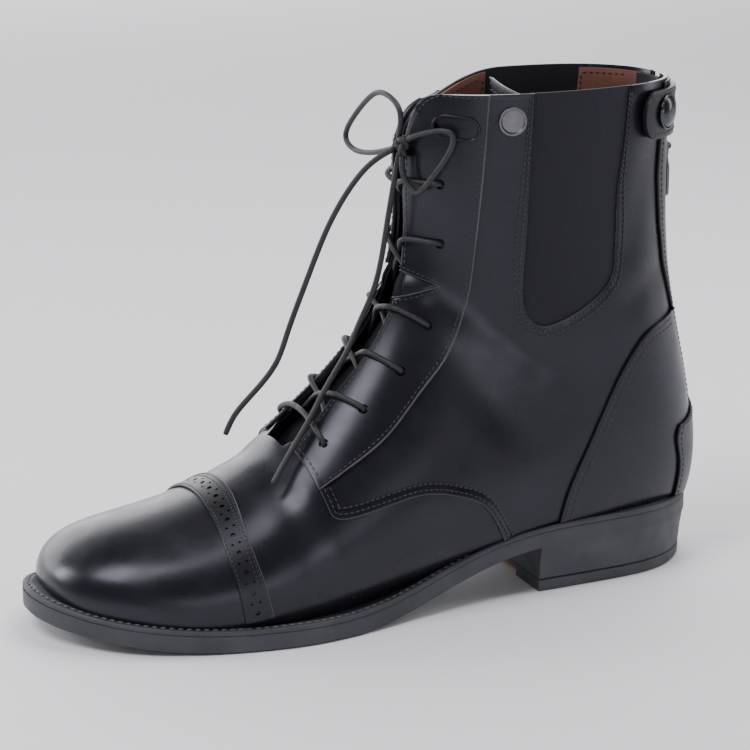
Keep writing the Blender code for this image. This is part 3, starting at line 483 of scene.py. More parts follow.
class Last:
    """The boot's form, on which every leather piece lies."""

    def __init__(self, sole: SoleForm) -> None:
        """Make the sections' spline.

        Args:
            sole: Form of the sole, which ends the last below.
        """
        toe = LAST[1]
        mirror = Section(toe.low_x, toe.low_z, toe.top_x, toe.top_z, -toe.half, toe.shift, -toe.egg,
                         toe.square)
        self.spline = Spline((mirror,) + LAST)
        self.sole = sole
        self.search_rows = np.linspace(0.2, COLLAR_ROW + 0.3, 2400)
        self.search = self.spline.at(self.search_rows + 1.0)

    def base(self, row: Array, angle: Array) -> Array:
        """Bare points of the last.

        Args:
            row: Rows along the last.
            angle: Angles round it.

        Returns:
            Points in millimetres.
        """
        row, angle = np.broadcast_arrays(np.asarray(row, float), np.asarray(angle, float))
        top_x, top_z, low_x, low_z, half, shift, egg, square = np.moveaxis(self.spline.at(row + 1.0), -1, 0)
        c = np.cos(angle)
        x = 0.5 * (top_x + low_x) + 0.5 * (top_x - low_x) * c
        z = 0.5 * (top_z + low_z) + 0.5 * (top_z - low_z) * c
        y = shift + half * np.sin(angle) * (1.0 - egg * c) * (1.0 + square * c * c)
        rim = smooth_step((row - RIM_START) / (COLLAR_ROW - RIM_START))
        z = z + RIM_LIFT * rim * np.abs(np.cos(0.5 * angle)) ** 1.2
        slack = smooth_step((row - LEAN_START) / (COLLAR_ROW - LEAN_START))
        x = x + INNER_LEAN * slack * np.sin(math.pi * np.clip(angle / 1.5, 0.0, 1.0)) ** 2
        z = z - INNER_DROP * slack * smooth_step((1.6 - angle) / 0.9) * smooth_step(angle / 0.15)
        return np.stack([x, y, z], -1)

    def normal(self, row: Array, angle: Array) -> Array:
        """Outward normals of the last.

        Args:
            row: Rows along the last.
            angle: Angles round it.

        Returns:
            Directions of length 1.
        """
        row = np.maximum(np.asarray(row, float), 0.02)
        step = 1e-3
        along = self.base(row + step, angle) - self.base(row - step, angle)
        around = self.base(row, angle + step) - self.base(row, angle - step)
        return unit(np.cross(along, around))

    def relief(self, points: Array) -> Array:
        """Rise of the creases.

        Args:
            points: Bare points of the last.

        Returns:
            Rise at each point, negative in a trough.
        """
        flat = points[..., (0, 2)]
        total = np.zeros(points.shape[:-1])
        for crease in CREASES:
            start = np.array(crease.start)
            ahead = np.array(crease.end) - start
            share = np.clip(((flat - start) @ ahead) / (ahead @ ahead), 0.0, 1.0)
            reach = np.linalg.norm(flat - start - share[..., None] * ahead, axis=-1)
            total -= crease.depth * np.exp(-(reach / crease.width) ** 2)
        return total

    def point(self, row: Array, angle: Array, offset: Array | float) -> Array:
        """Points in millimetres, at an offset outside the creased leather."""
        bare = self.base(row, angle)
        return bare + self.normal(row, angle) * (self.relief(bare) + offset)[..., None]

    def angle_out(self, row: Array, out: Array) -> Array:
        """Angles at which the last lies a distance to the side of the instep line.

        Args:
            row: Rows along the last.
            out: Distances from the instep line.

        Returns:
            Positive angles.
        """
        row, out = np.broadcast_arrays(np.asarray(row, float), np.asarray(out, float))
        centre = self.base(row, 0.0)[..., 1]
        return halve(np.zeros(row.shape), np.full(row.shape, 1.4),
                     lambda angle: np.abs(self.base(row, angle)[..., 1] - centre) < out)

    def place_of(self, line: Array) -> Array:
        """Places of points seen in side view.

        Args:
            line: Points as (x, z).

        Returns:
            Rows and angles, the angle taken as positive.
        """
        places = []
        to_low = self.search[:, 2:4] - self.search[:, 0:2]
        size = np.maximum((to_low ** 2).sum(1), 1e-9)
        for spot in np.asarray(line, float):
            to_point = spot - self.search[:, 0:2]
            across = to_low[:, 0] * to_point[:, 1] - to_low[:, 1] * to_point[:, 0]
            share = (to_low * to_point).sum(1) / size
            reach = np.abs(across) / np.sqrt(size)
            reach += 1e3 * ((share < 0.0) | (share > 1.0))
            best = int(reach.argmin())
            places.append((self.search_rows[best], math.acos(np.clip(1.0 - 2.0 * share[best], -1.0, 1.0))))
        return np.array(places)

    def rows_on_line(self, line: Sequence[Pair], angle: Array) -> Array:
        """Rows at which a steep side-view line crosses the last.

        Args:
            line: Points as (x, z), from the top down.
            angle: Angles round the last.

        Returns:
            Rows, one for each angle.
        """
        dense = Spline(line).line(200)[::-1]

        def before(row: Array) -> Array:
            """Whether the last at a row is still in front of the line."""
            points = self.base(row, angle)
            return points[..., 0] < np.interp(points[..., 2], dense[:, 1], dense[:, 0])

        return halve(np.full(np.shape(angle), 1.5), np.full(np.shape(angle), 6.0), before)

    def row_at_height(self, angle: Array, height: Array) -> Array:
        """Rows at which the shaft reaches a height.

        Args:
            angle: Angles round the shaft.
            height: Heights above the floor.

        Returns:
            Rows, the collar's at most.
        """
        angle, height = np.broadcast_arrays(np.asarray(angle, float), np.asarray(height, float))
        row = halve(np.full(angle.shape, 7.2), np.full(angle.shape, COLLAR_ROW + 0.2),
                    lambda middle: self.base(middle, angle)[..., 2] < height)
        return np.minimum(row, COLLAR_ROW)

    def back_place(self, out: Array | float, height: Array) -> Array:
        """Places on the back of the shaft.

        Args:
            out: Distance from the middle plane, positive.
            height: Heights above the floor.

        Returns:
            Rows and angles, the angles between a quarter and a half turn.
        """
        out, height = np.broadcast_arrays(np.asarray(out, float), np.asarray(height, float))
        row = self.row_at_height(np.full(out.shape, math.pi - 0.3), height)
        for _ in range(5):
            angle = halve(np.full(out.shape, 0.5 * math.pi), np.full(out.shape, math.pi),
                          lambda middle: self.base(row, middle)[..., 1] > out)
            row = self.row_at_height(angle, height)
        return np.stack([row, angle], -1)

    def side_limit(self, row: Array, side: Side, half_slot: float) -> Array:
        """Angles at which the leather ends, a little below the feather line or at the zip's slot.

        Args:
            row: Rows along the last.
            side: Side of the foot.
            half_slot: Distance from the middle plane kept free for the zip.

        Returns:
            Positive angles, one for each row.
        """
        angles = np.linspace(0.3, math.pi, 700)
        points = self.base(row[:, None], side.value * angles[None, :])
        below = points[..., 2] < self.sole.feather(np.clip(points[..., 0], -149.0, 160.0)) - 2.0
        slot = (np.abs(points[..., 1]) < half_slot) & (angles > 2.0) & (points[..., 2] > ZIP_FOOT_Z - 4.0)
        done = below | slot
        return angles[np.where(done.any(1), done.argmax(1), len(angles) - 1)]


def throat_half(row: Array, sign: Array | float = -1.0) -> Array:
    """Half width of the throat at rows, with its corners eased.

    Args:
        row: Rows along the last.
        sign: Sign of the side, for the upper corner.

    Returns:
        Distances from the instep line.
    """
    row = np.asarray(row, float)
    reach = np.minimum(0.12, 0.3 * np.abs(COLLAR_ROW - row) + 0.01)
    eased = row[..., None] + reach[..., None] * np.linspace(-1.0, 1.0, 9)
    tables = [np.array(THROAT + THROAT_CORNER[side]).T for side in Side]
    return np.where(np.asarray(sign) < 0.0, *(np.interp(eased, *table).mean(-1) for table in tables))


def in_outline(points: Array, outline: Array) -> Array:
    """Which points lie inside a closed outline.

    Args:
        points: Points as two columns.
        outline: Corners of the outline.

    Returns:
        True for each point inside.
    """
    inside = np.zeros(len(points), bool)
    x, z = points[:, 0], points[:, 1]
    for (x0, z0), (x1, z1) in zip(outline, np.roll(outline, -1, 0)):
        crosses = (z0 > z) != (z1 > z)
        reach = (x1 - x0) * (z - z0) / (z1 - z0 if z1 != z0 else 1e-9) + x0
        inside ^= crosses & (x < reach)
    return inside


def deselect() -> None:
    """Leave edit mode and clear the selection."""
    if bpy.context.object is not None and bpy.context.object.mode != "OBJECT":
        bpy.ops.object.mode_set(mode="OBJECT")
    bpy.ops.object.select_all(action="DESELECT")


def activate(item: Item) -> None:
    """Make one object the only selected and active one.

    Args:
        item: The object.
    """
    deselect()
    item.select_set(True)
    bpy.context.view_layer.objects.active = item


def named(name: str) -> Item:
    """Give the new active object its name, and return it."""
    bpy.context.object.name = bpy.context.object.data.name = name
    return bpy.context.object


def read_points(item: Item) -> Array:
    """Vertex places of a mesh as the mesh holds them.

    Args:
        item: The mesh object.

    Returns:
        One row for each vertex.
    """
    values = np.zeros(len(item.data.vertices) * 3, np.float32)
    item.data.vertices.foreach_get("co", values)
    return values.reshape(-1, 3).astype(float)


def to_frame(points: Array) -> Array:
    """Millimetres on the last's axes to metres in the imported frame."""
    return (np.asarray(points, float) + FRAME_SHIFT) * MM


def write_points(item: Item, points: Array) -> None:
    """Place a mesh's vertices, given in millimetres on the last's axes."""
    item.data.vertices.foreach_set("co", to_frame(points).astype(np.float32).ravel())
    item.data.update()


def add_grid(name: str, across: int, along: int) -> tuple[Item, Array, Array]:
    """Add a grid to be shaped.

    Args:
        name: Name of the piece.
        across: Cells along u.
        along: Cells along v.

    Returns:
        The object and each vertex's u and v, from 0 to 1.
    """
    deselect()
    bpy.ops.mesh.primitive_grid_add(x_subdivisions=across, y_subdivisions=along, size=1.0)
    item = named(name)
    flat = np.clip(read_points(item) + 0.5, 0.0, 1.0)
    return item, flat[:, 0], flat[:, 1]


def corners_of(item: Item) -> Array:
    """Vertex numbers of each face of an all-quad mesh.

    Args:
        item: The mesh object.

    Returns:
        Four numbers for each face.
    """
    values = np.zeros(len(item.data.loops), np.int32)
    item.data.loops.foreach_get("vertex_index", values)
    return values.reshape(-1, 4)


def face_outwards(item: Item, outward: Array) -> None:
    """Turn an all-quad mesh so that its faces look outwards.

    Args:
        item: The mesh object.
        outward: Outward direction at each vertex.
    """
    normals = np.zeros(len(item.data.polygons) * 3, np.float32)
    item.data.polygons.foreach_get("normal", normals)
    if (normals.reshape(-1, 3) * outward[corners_of(item)].mean(1)).sum() < 0.0:
        item.data.flip_normals()


def apply_modifier(item: Item, kind: str, **settings: object) -> None:
    """Add one modifier and apply it.

    Args:
        item: The piece.
        kind: Blender's name of the modifier type.
        settings: Values set on the modifier.
    """
    activate(item)
    change = item.modifiers.new(kind.lower(), kind)
    for key, value in settings.items():
        setattr(change, key, value)
    bpy.ops.object.modifier_apply(modifier=change.name)


def ease(item: Item, width: float, degrees: float = 50.0) -> None:
    """Round the edges that are sharper than an angle, by a width in millimetres."""
    apply_modifier(item, "BEVEL", width=width * MM, segments=2, limit_method="ANGLE",
                   angle_limit=math.radians(degrees))


def merge_close(item: Item, distance: float, outside: bool = False) -> None:
    """Merge vertices that lie close together.

    Args:
        item: The piece.
        distance: Greatest distance in millimetres.
        outside: Whether all faces are then turned outwards.
    """
    activate(item)
    bpy.ops.object.mode_set(mode="EDIT")
    bpy.ops.mesh.select_all(action="SELECT")
    bpy.ops.mesh.remove_doubles(threshold=distance * MM)
    if outside:
        bpy.ops.mesh.normals_make_consistent(inside=False)
    bpy.ops.object.mode_set(mode="OBJECT")


def drop_faces(item: Item, faces: Array, values: Sequence[Array]) -> list[Array]:
    """Delete faces and follow what is known of each vertex.

    Args:
        item: The mesh object.
        faces: True for each face to delete.
        values: Arrays with one number for each vertex.

    Returns:
        The same arrays for the vertices that stay.
    """
    mesh = item.data
    names = ["known_%d" % k for k in range(len(values))]
    for name, known in zip(names, values):
        mesh.attributes.new(name, "FLOAT", "POINT").data.foreach_set("value", known.astype(np.float32))
    activate(item)
    bpy.context.tool_settings.mesh_select_mode = (False, False, True)
    mesh.polygons.foreach_set("select", faces)
    bpy.ops.object.mode_set(mode="EDIT")
    bpy.ops.mesh.delete(type="FACE")
    bpy.ops.object.mode_set(mode="OBJECT")
    kept = []
    for name in names:
        known = np.zeros(len(mesh.vertices), np.float32)
        mesh.attributes[name].data.foreach_get("value", known)
        mesh.attributes.remove(mesh.attributes[name])
        kept.append(known.astype(float))
    return kept


def thicken(item: Item, thickness: float, rounding: float) -> None:
    """Give a sheet its thickness inwards and round its rim.

    Args:
        item: Sheet whose faces look outwards.
        thickness: Thickness in millimetres.
        rounding: Width of the rounded rim in millimetres, 0 for a plain rim.
    """
    apply_modifier(item, "SOLIDIFY", thickness=thickness * MM, offset=-1.0, use_even_offset=False)
    if rounding > 0.0:
        ease(item, rounding)


def shade(item: Item, degrees: float = 40.0) -> None:
    """Shade smooth below an angle between faces."""
    activate(item)
    bpy.ops.object.shade_smooth_by_angle(angle=math.radians(degrees))


def join(items: Sequence[Item], name: str = "") -> Item:
    """Join objects into the first one.

    Args:
        items: The objects.
        name: Name of the joined piece, where it gets a new one.

    Returns:
        The joined piece.
    """
    deselect()
    for item in items:
        item.select_set(True)
    bpy.context.view_layer.objects.active = items[0]
    bpy.ops.object.join()
    items[0].name = name or items[0].name
    return items[0]


def combine(item: Item, tool: Item, operation: str = "DIFFERENCE") -> None:
    """Cut a closed piece by another, or add that one to it, and remove the other."""
    apply_modifier(item, "BOOLEAN", operation=operation, solver="EXACT", object=tool)
    bpy.data.objects.remove(tool)


def peg(centre: Sequence[float], axis: Sequence[float], radius: float, depth: float,
        sides: int = 20) -> Item:
    """Round peg along an axis.

    Args:
        centre: Middle in millimetres on the last's axes.
        axis: Direction of the peg.
        radius: Radius in millimetres.
        depth: Length in millimetres.
        sides: Number of sides.

    Returns:
        The peg, with its place in its mesh.
    """
    deselect()
    turn = Vector(axis).to_track_quat("Z", "Y").to_euler()
    bpy.ops.mesh.primitive_cylinder_add(vertices=sides, radius=radius * MM, depth=depth * MM,
                                        location=to_frame(centre), rotation=turn)
    bpy.ops.object.transform_apply(location=True, rotation=True, scale=True)
    return bpy.context.object


def prism(name: str, sides: int, shape: Callable[[Array, Array], Array]) -> Item:
    """Cylinder redrawn to another outline.

    Args:
        name: Name of the piece.
        sides: Number of sides.
        shape: New points from each vertex's number round the axis and its place on a cylinder of radius 1.

    Returns:
        The closed prism.
    """
    deselect()
    bpy.ops.mesh.primitive_cylinder_add(vertices=sides, radius=1.0, depth=2.0)
    item = named(name)
    flat = read_points(item)
    turn = (np.arctan2(flat[:, 0], flat[:, 1]) % math.tau) / (math.tau / sides)
    write_points(item, shape(np.rint(turn).astype(int) % sides, flat))
    merge_close(item, 0.001, True)
    return item


def rolled(name: str, rings: Array, degrees: float, wraps: bool = False) -> Item:
    """Closed piece from a row of closed rings.

    Args:
        name: Name of the piece.
        rings: Points as (ring, place round it, axis).
        degrees: Angle between faces above which an edge stays sharp.
        wraps: Whether the last ring is joined to the first.

    Returns:
        The piece, with its faces outwards.
    """
    count, around = rings.shape[:2]
    along = count if wraps else count - 1
    item, u, v = add_grid(name, around, along)
    place = np.rint(u * around).astype(int) % around
    write_points(item, rings[np.rint(v * along).astype(int) % count, place])
    merge_close(item, 0.002, True)
    shade(item, degrees)
    return item


def tube(name: str, path: Array, radius: float | Array, around: int = 12, closed: bool = False) -> Item:
    """Round cord along a path, from a grid rolled up round it.

    Args:
        name: Name of the piece.
        path: Points in millimetres.
        radius: Radius, or one for each point.
        around: Cells round the cord.
        closed: Whether the path's last point is its first.

    Returns:
        The cord, with its ends closed.
    """
    radius = np.broadcast_to(np.asarray(radius, float), (len(path),))
    ahead = np.gradient(path, axis=0)
    if closed:
        ahead[0] = ahead[-1] = path[1] - path[-2]
    else:
        path = np.concatenate([path[:1], path, path[-1:]])
        ahead = np.concatenate([ahead[:1], ahead, ahead[-1:]])
        radius = np.concatenate([[1e-4], radius, [1e-4]])
    ahead = unit(ahead)
    normals = []
    normal = np.cross(ahead[0], (0.3, 0.2, 0.9))
    for direction in ahead:
        normal = unit(normal - direction * (normal @ direction))
        normals.append(normal)
    normals = np.array(normals)
    seconds = np.cross(ahead, normals)
    if closed:
        gap = math.atan2(normals[0] @ seconds[-1], normals[0] @ normals[-1])
        turns = np.linspace(0.0, gap, len(path))[:, None]
        normals = normals * np.cos(turns) + seconds * np.sin(turns)
        seconds = np.cross(ahead, normals)
    turn = np.linspace(0.0, math.tau, around, endpoint=False)[None, :, None]
    outward = np.cos(turn) * normals[:, None] + np.sin(turn) * seconds[:, None]
    return rolled(name, path[:, None] + outward * radius[:, None, None], 180.0)


class Desk:
    """Node tree of one material, with short calls for its nodes."""

    def __init__(self, name: str) -> None:
        """Start a Principled material.

        Args:
            name: Name of the material.
        """
        self.material = bpy.data.materials.new(name)
        self.material.use_nodes = True
        self.tree = self.material.node_tree
        self.shader = self.tree.nodes["Principled BSDF"]
        self.place = self.node("ShaderNodeTexCoord").outputs["Object"]

    def node(self, kind: str, **values: object) -> bpy.types.Node:
        """Add a node.

        Args:
            kind: Blender's name of the node type.
            values: Plain properties set on it.

        Returns:
            The node.
        """
        made = self.tree.nodes.new(kind)
        for key, value in values.items():
            setattr(made, key, value)
        return made

    def link(self, source: Socket, target: Socket) -> None:
        """Join two sockets."""
        self.tree.links.new(source, target)

    def fixed(self, **values: object) -> None:
        """Set shader sockets by their names, with _ for a space."""
        for key, value in values.items():
            self.shader.inputs[key.replace("_", " ")].default_value = value

    def surface_place(self, across: float, along: float, turn: float = 0.0) -> Socket:
        """The piece's own UV map, scaled and turned.

        Args:
            across: Scale along u.
            along: Scale along v.
            turn: Turn in radians.

        Returns:
            Coordinates for a texture.
        """
        mapping = self.node("ShaderNodeMapping")
        mapping.inputs["Scale"].default_value = (across, along, 1.0)
        mapping.inputs["Rotation"].default_value = (0.0, 0.0, turn)
        self.link(self.node("ShaderNodeTexCoord").outputs["UV"], mapping.inputs["Vector"])
        return mapping.outputs["Vector"]

    def texture(self, made: bpy.types.Node, source: Socket, output: str, socket: str = "Vector",
                **inputs: float) -> Socket:
        """Link a node to what it reads.

        Args:
            made: The node.
            source: What it reads.
            output: Name of the output wanted.
            socket: Name of the socket that reads.
            inputs: Values of its other sockets.

        Returns:
            The output.
        """
        for key, value in inputs.items():
            made.inputs[key].default_value = value
        self.link(source, made.inputs[socket])
        return made.outputs[output]

    def noise(self, scale: float, detail: float = 3.0) -> Socket:
        """Noise from 0 to 1 at Object coordinates."""
        return self.texture(self.node("ShaderNodeTexNoise"), self.place, "Fac", Scale=scale, Detail=detail)

    def pores(self, scale: float) -> Socket:
        """Distance to the nearest pore of a leather grain."""
        return self.texture(self.node("ShaderNodeTexVoronoi"), self.place, "Distance", Scale=scale)

    def bands(self, place: Socket, axis: str) -> Socket:
        """Even bands across one axis."""
        return self.texture(self.node("ShaderNodeTexWave", bands_direction=axis), place, "Fac", Scale=0.5)

    def ramp(self, source: Socket, span: Pair, target: Pair = (0.0, 1.0)) -> Socket:
        """Map a span of values to another span."""
        ends = dict(zip(("From Min", "From Max", "To Min", "To Max"), (*span, *target)))
        return self.texture(self.node("ShaderNodeMapRange"), source, "Result", "Value", **ends)

    def tint(self, share: Socket, first: Colour, second: Colour) -> None:
        """Mix the base colour.

        Args:
            share: Share of the second colour.
            first: Colour at 0.
            second: Colour at 1.
        """
        made = self.node("ShaderNodeMix", data_type="RGBA")
        made.inputs[6].default_value = (*first, 1.0)
        made.inputs[7].default_value = (*second, 1.0)
        self.link(share, made.inputs[0])
        self.link(made.outputs[2], self.shader.inputs["Base Color"])

    def polish(self, source: Socket, rough: Pair) -> None:
        """Let the roughness wander between two values with a noise."""
        self.link(self.ramp(source, (0.3, 0.7), rough), self.shader.inputs["Roughness"])

    def bump(self, heights: Sequence[tuple[Socket, float, float]]) -> None:
        """Chain bumps.

        Args:
            heights: Height, strength and depth in millimetres of each bump.
        """
        last = None
        for source, strength, depth in heights:
            made = self.node("ShaderNodeBump")
            made.inputs["Strength"].default_value = strength
            made.inputs["Distance"].default_value = depth * MM
            self.link(source, made.inputs["Height"])
            if last is not None:
                self.link(last, made.inputs["Normal"])
            last = made.outputs["Normal"]
        self.link(last, self.shader.inputs["Normal"])


@dataclass(frozen=True)
class Finish:
    """A finish whose colour wanders between two tones."""

    name: str
    dark: Colour
    light: Colour

    def make(self) -> Material:
        """Build the material.

        Returns:
            The material.
        """
        desk = Desk(self.name)
        self.fill(desk)
        return desk.material

    def fill(self, desk: Desk) -> None:
        """Add what the finish shows."""
        raise NotImplementedError


@dataclass(frozen=True)
class LeatherFinish(Finish):
    """Satin leather with a fine pore grain and slightly uneven polish."""

    rough: Pair
    grain_mm: float = 1.1
    grain: float = 0.05
    coat: float = 0.12
    gloss: float = 0.36
    tone: Colour = (0.85, 0.85, 1.0)

    def fill(self, desk: Desk) -> None:
        """Add clouds of tone, polish, pores and faint creasing.

        Args:
            desk: The material's node tree.
        """
        desk.tint(desk.ramp(desk.noise(34.0, 4.0), (0.35, 0.68)), self.dark, self.light)
        desk.polish(desk.noise(90.0, 3.0), self.rough)
        desk.fixed(Coat_Weight=self.coat, Coat_Roughness=0.3, Specular_IOR_Level=self.gloss,
                   Specular_Tint=(*self.tone, 1.0))
        pores = desk.pores(1.0 / (self.grain_mm * MM))
        desk.bump(((pores, self.grain, 0.12), (desk.noise(420.0, 2.0), 0.05, 0.15),
                   (desk.noise(60.0, 2.0), 0.12, 0.5)))


@dataclass(frozen=True)
class ElasticFinish(Finish):
    """Woven elastic with upright ribs crossed by fine rows."""

    ribs: float
    rows: float

    def fill(self, desk: Desk) -> None:
        """Add ribs and rows along the piece's own UV map.

        Args:
            desk: The material's node tree.
        """
        ribs = desk.bands(desk.surface_place(self.ribs, 1.0), "X")
        rows = desk.bands(desk.surface_place(1.0, self.rows), "Y")
        product = desk.node("ShaderNodeMath", operation="MULTIPLY")
        desk.link(ribs, product.inputs[0])
        desk.link(rows, product.inputs[1])
        desk.tint(product.outputs[0], self.dark, self.light)
        desk.fixed(Roughness=0.85, Sheen_Weight=0.1, Specular_Tint=(0.85, 0.85, 1.0, 1.0))
        desk.bump(((ribs, 0.3, 0.25), (rows, 0.3, 0.25), (desk.noise(900.0), 0.2, 0.1)))


@dataclass(frozen=True)
class RubberFinish(Finish):
    """Matt sole rubber with a fine moulded texture."""

    rough: Pair = (0.5, 0.66)

    def fill(self, desk: Desk) -> None:
        """Add clouds of tone, polish and a moulded texture.

        Args:
            desk: The material's node tree.
        """
        desk.tint(desk.ramp(desk.noise(55.0, 6.0), (0.35, 0.7)), self.dark, self.light)
        desk.polish(desk.noise(160.0, 3.0), self.rough)
        desk.bump(((desk.noise(1400.0, 2.0), 0.16, 0.1), (desk.noise(130.0, 2.0), 0.08, 0.3)))


@dataclass(frozen=True)
class ThreadFinish(Finish):
    """Twisted sewing thread."""

    def fill(self, desk: Desk) -> None:
        """Add fine tones and fibres.

        Args:
            desk: The material's node tree.
        """
        desk.tint(desk.noise(700.0, 2.0), self.dark, self.light)
        desk.fixed(Roughness=0.5)
        desk.bump(((desk.noise(2400.0, 2.0), 0.4, 0.1),))


@dataclass(frozen=True)
class MetalFinish(Finish):
    """Satin metal with faint brush marks."""

    rough: Pair

    def fill(self, desk: Desk) -> None:
        """Add clouded tone, polish and brush marks.

        Args:
            desk: The material's node tree.
        """
        desk.tint(desk.noise(260.0, 4.0), self.dark, self.light)
        desk.fixed(Metallic=1.0)
        desk.polish(desk.noise(500.0, 4.0), self.rough)
        desk.bump(((desk.noise(1800.0, 2.0), 0.06, 0.05),))


@dataclass(frozen=True)
class CordFinish(Finish):
    """Round waxed lace with a fine braid that runs round it."""

    turns: float = 6.0
    pitch: float = 90.0

    def fill(self, desk: Desk) -> None:
        """Add two crossed bands along the cord's UV map, and fibres.

        Args:
            desk: The material's node tree.
        """
        left, right = (desk.bands(desk.surface_place(self.turns, self.pitch, turn), "Y")
                       for turn in (0.0, 0.06))
        desk.tint(desk.noise(300.0, 3.0), self.dark, self.light)
        desk.fixed(Roughness=0.55)
        desk.bump(((left, 0.25, 0.12), (right, 0.2, 0.12), (desk.noise(1600.0), 0.2, 0.08)))


class Dressing(NamedTuple):
    """A made finish and the record's slot for it."""

    material: Material
    slot: str


def hold(finish: Finish, slot: str = "") -> Dressing:
    """Make a finish, whose slot has its name unless another is given."""
    return Dressing(finish.make(), slot or finish.name)


class Finishes:
    """Every finish of the boot, made once."""

    def __init__(self) -> None:
        """Make the materials."""
        weave = ((0.0062, 0.0062, 0.0088), (0.0150, 0.0150, 0.0205))
        self.leather = hold(LeatherFinish(
            "smooth_leather", (0.0058, 0.0058, 0.0085), (0.0100, 0.0099, 0.0138), (0.25, 0.36)))
        self.trim = hold(LeatherFinish(
            "trim_leather", (0.0050, 0.0050, 0.0065), (0.0090, 0.0090, 0.0110), (0.34, 0.46), 0.8, 0.14,
            0.10))
        # Tongue: darker than the other leather, its colour is painted shade that the throat casts on the
        # tongue.
        self.tongue = hold(LeatherFinish(
            "tongue_leather", (0.0030, 0.0030, 0.0040), (0.0060, 0.0060, 0.0075), (0.62, 0.75), 0.8, 0.14,
            0.0, 0.08), "trim_leather")
        # Pale tubes along the leather's edges: their pale colour is a painted highlight where the rounded
        # edges catch the light.
        self.cut_edge = hold(LeatherFinish(
            "cut_edge_leather", (0.050, 0.050, 0.055), (0.085, 0.085, 0.092), (0.4, 0.5), 0.5, 0.2, 0.0),
            "trim_leather")
        self.lining = hold(LeatherFinish(
            "brown_lining", (0.150, 0.058, 0.040), (0.225, 0.098, 0.072), (0.5, 0.66), 0.7, 0.2, 0.0))
        self.elastic = hold(ElasticFinish("ribbed_elastic", *weave, 73.0, 150.0))
        self.tape = hold(ElasticFinish("zip_tape_black", *weave, 16.0, 160.0))
        self.rubber = hold(RubberFinish("sole_rubber", (0.033, 0.034, 0.041), (0.053, 0.054, 0.064)))
        self.insert = hold(RubberFinish("insert_rubber", (0.36, 0.135, 0.10), (0.46, 0.185, 0.14)))
        self.thread = hold(ThreadFinish(
            "black_thread", (0.012, 0.012, 0.014), (0.035, 0.035, 0.040)), "waxed_cord")
        self.welt_thread = hold(ThreadFinish(
            "welt_thread", (0.09, 0.09, 0.095), (0.17, 0.17, 0.175)), "waxed_cord")
        self.steel = hold(MetalFinish("badge_metal", (0.11, 0.11, 0.115), (0.21, 0.21, 0.22), (0.36, 0.48)))
        self.gun = hold(MetalFinish("snap_metal", (0.05, 0.05, 0.055), (0.10, 0.10, 0.11), (0.18, 0.30)))
        self.cord = hold(CordFinish("waxed_cord", (0.009, 0.009, 0.011), (0.020, 0.0205, 0.024)))


def dress(item: Item, finish: Dressing, nodes: Sequence[str] = (), body: str = BOOT) -> Item:
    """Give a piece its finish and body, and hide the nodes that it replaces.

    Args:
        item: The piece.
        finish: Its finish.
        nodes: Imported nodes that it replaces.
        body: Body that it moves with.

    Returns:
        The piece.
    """
    item.data.materials.clear()
    item.data.materials.append(finish.material)
    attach(item, body)
    if nodes:
        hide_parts(*nodes)
    LOG.info("%s: %d faces on %s", item.name, len(item.data.polygons), body)
    return item


@dataclass
class Needle:
    """Collects stitches of one thread and makes them one mesh."""

    last: Last
    centres: list[Array] = field(default_factory=list)
    frames: list[Array] = field(default_factory=list)

    def sew(self, path: Array, up: Array, pitch: float, size: Point, slant: float = 0.0) -> None:
        """Sew one row.

        Args:
            path: Dense polyline in millimetres.
            up: Direction away from the leather at each of its points.
            pitch: Distance from stitch to stitch.
            size: Length, width and height of one stitch.
            slant: Turn of each stitch in the surface, in radians.
        """
        lengths = path_lengths(path)
        count = int(lengths[-1] / pitch)
        wanted = (np.arange(count) + 0.5) * lengths[-1] / max(count, 1)
        ahead = unit(columns_at(wanted, lengths, np.gradient(path, axis=0)))
        rise = unit(columns_at(wanted, lengths, up))
        ahead = unit(ahead - rise * (ahead * rise).sum(1, keepdims=True))
        turned = ahead * math.cos(slant) + np.cross(rise, ahead) * math.sin(slant)
        axes = np.stack([turned, np.cross(rise, turned), rise], 1)
        self.centres.append(columns_at(wanted, lengths, path))
        self.frames.append(axes * np.array(size)[:, None] / 2)

    def sew_places(self, places: Array, offset: float, pitch: float = STITCH_PITCH, size: Point = STITCH,
                   slant: float = 0.0) -> None:
        """Sew one row along places of the last, with the thread's middle at an offset."""
        self.sew(self.last.point(*places.T, offset), self.last.normal(*places.T), pitch, size, slant)

    def make(self, name: str) -> Item:
        """Join all stitches into one mesh made of copies of a small bead.

        Args:
            name: Name of the piece.

        Returns:
            The piece.
        """
        deselect()
        bpy.ops.mesh.primitive_uv_sphere_add(segments=6, ring_count=4, radius=1.0)
        item = named(name)
        bead = read_points(item)
        faces = [tuple(face.vertices) for face in item.data.polygons]
        centres = np.concatenate(self.centres)
        points = centres[:, None, :] + np.einsum("vk,nkj->nvj", bead, np.concatenate(self.frames))
        copies = [tuple(k * len(bead) + v for v in face) for k in range(len(centres)) for face in faces]
        old = item.data
        item.data = bpy.data.meshes.new(name)
        item.data.from_pydata(to_frame(points.reshape(-1, 3)).tolist(), [], copies)
        bpy.data.meshes.remove(old)
        item.data.name = name
        activate(item)
        bpy.ops.object.shade_smooth()
        return item


@dataclass
class Workshop:
    """What every sub-assembly works with."""

    sole: SoleForm = field(default_factory=SoleForm)
    last: Last = field(init=False)
    finishes: Finishes = field(init=False)
    thread: Needle = field(init=False)
    # Pale tubes that paint the highlight along the leather's edges.
    edges: list[Item] = field(default_factory=list)

    def __post_init__(self) -> None:
        """Make the form, the finishes and the needle."""
        self.last = Last(self.sole)
        self.finishes = Finishes()
        self.thread = Needle(self.last)


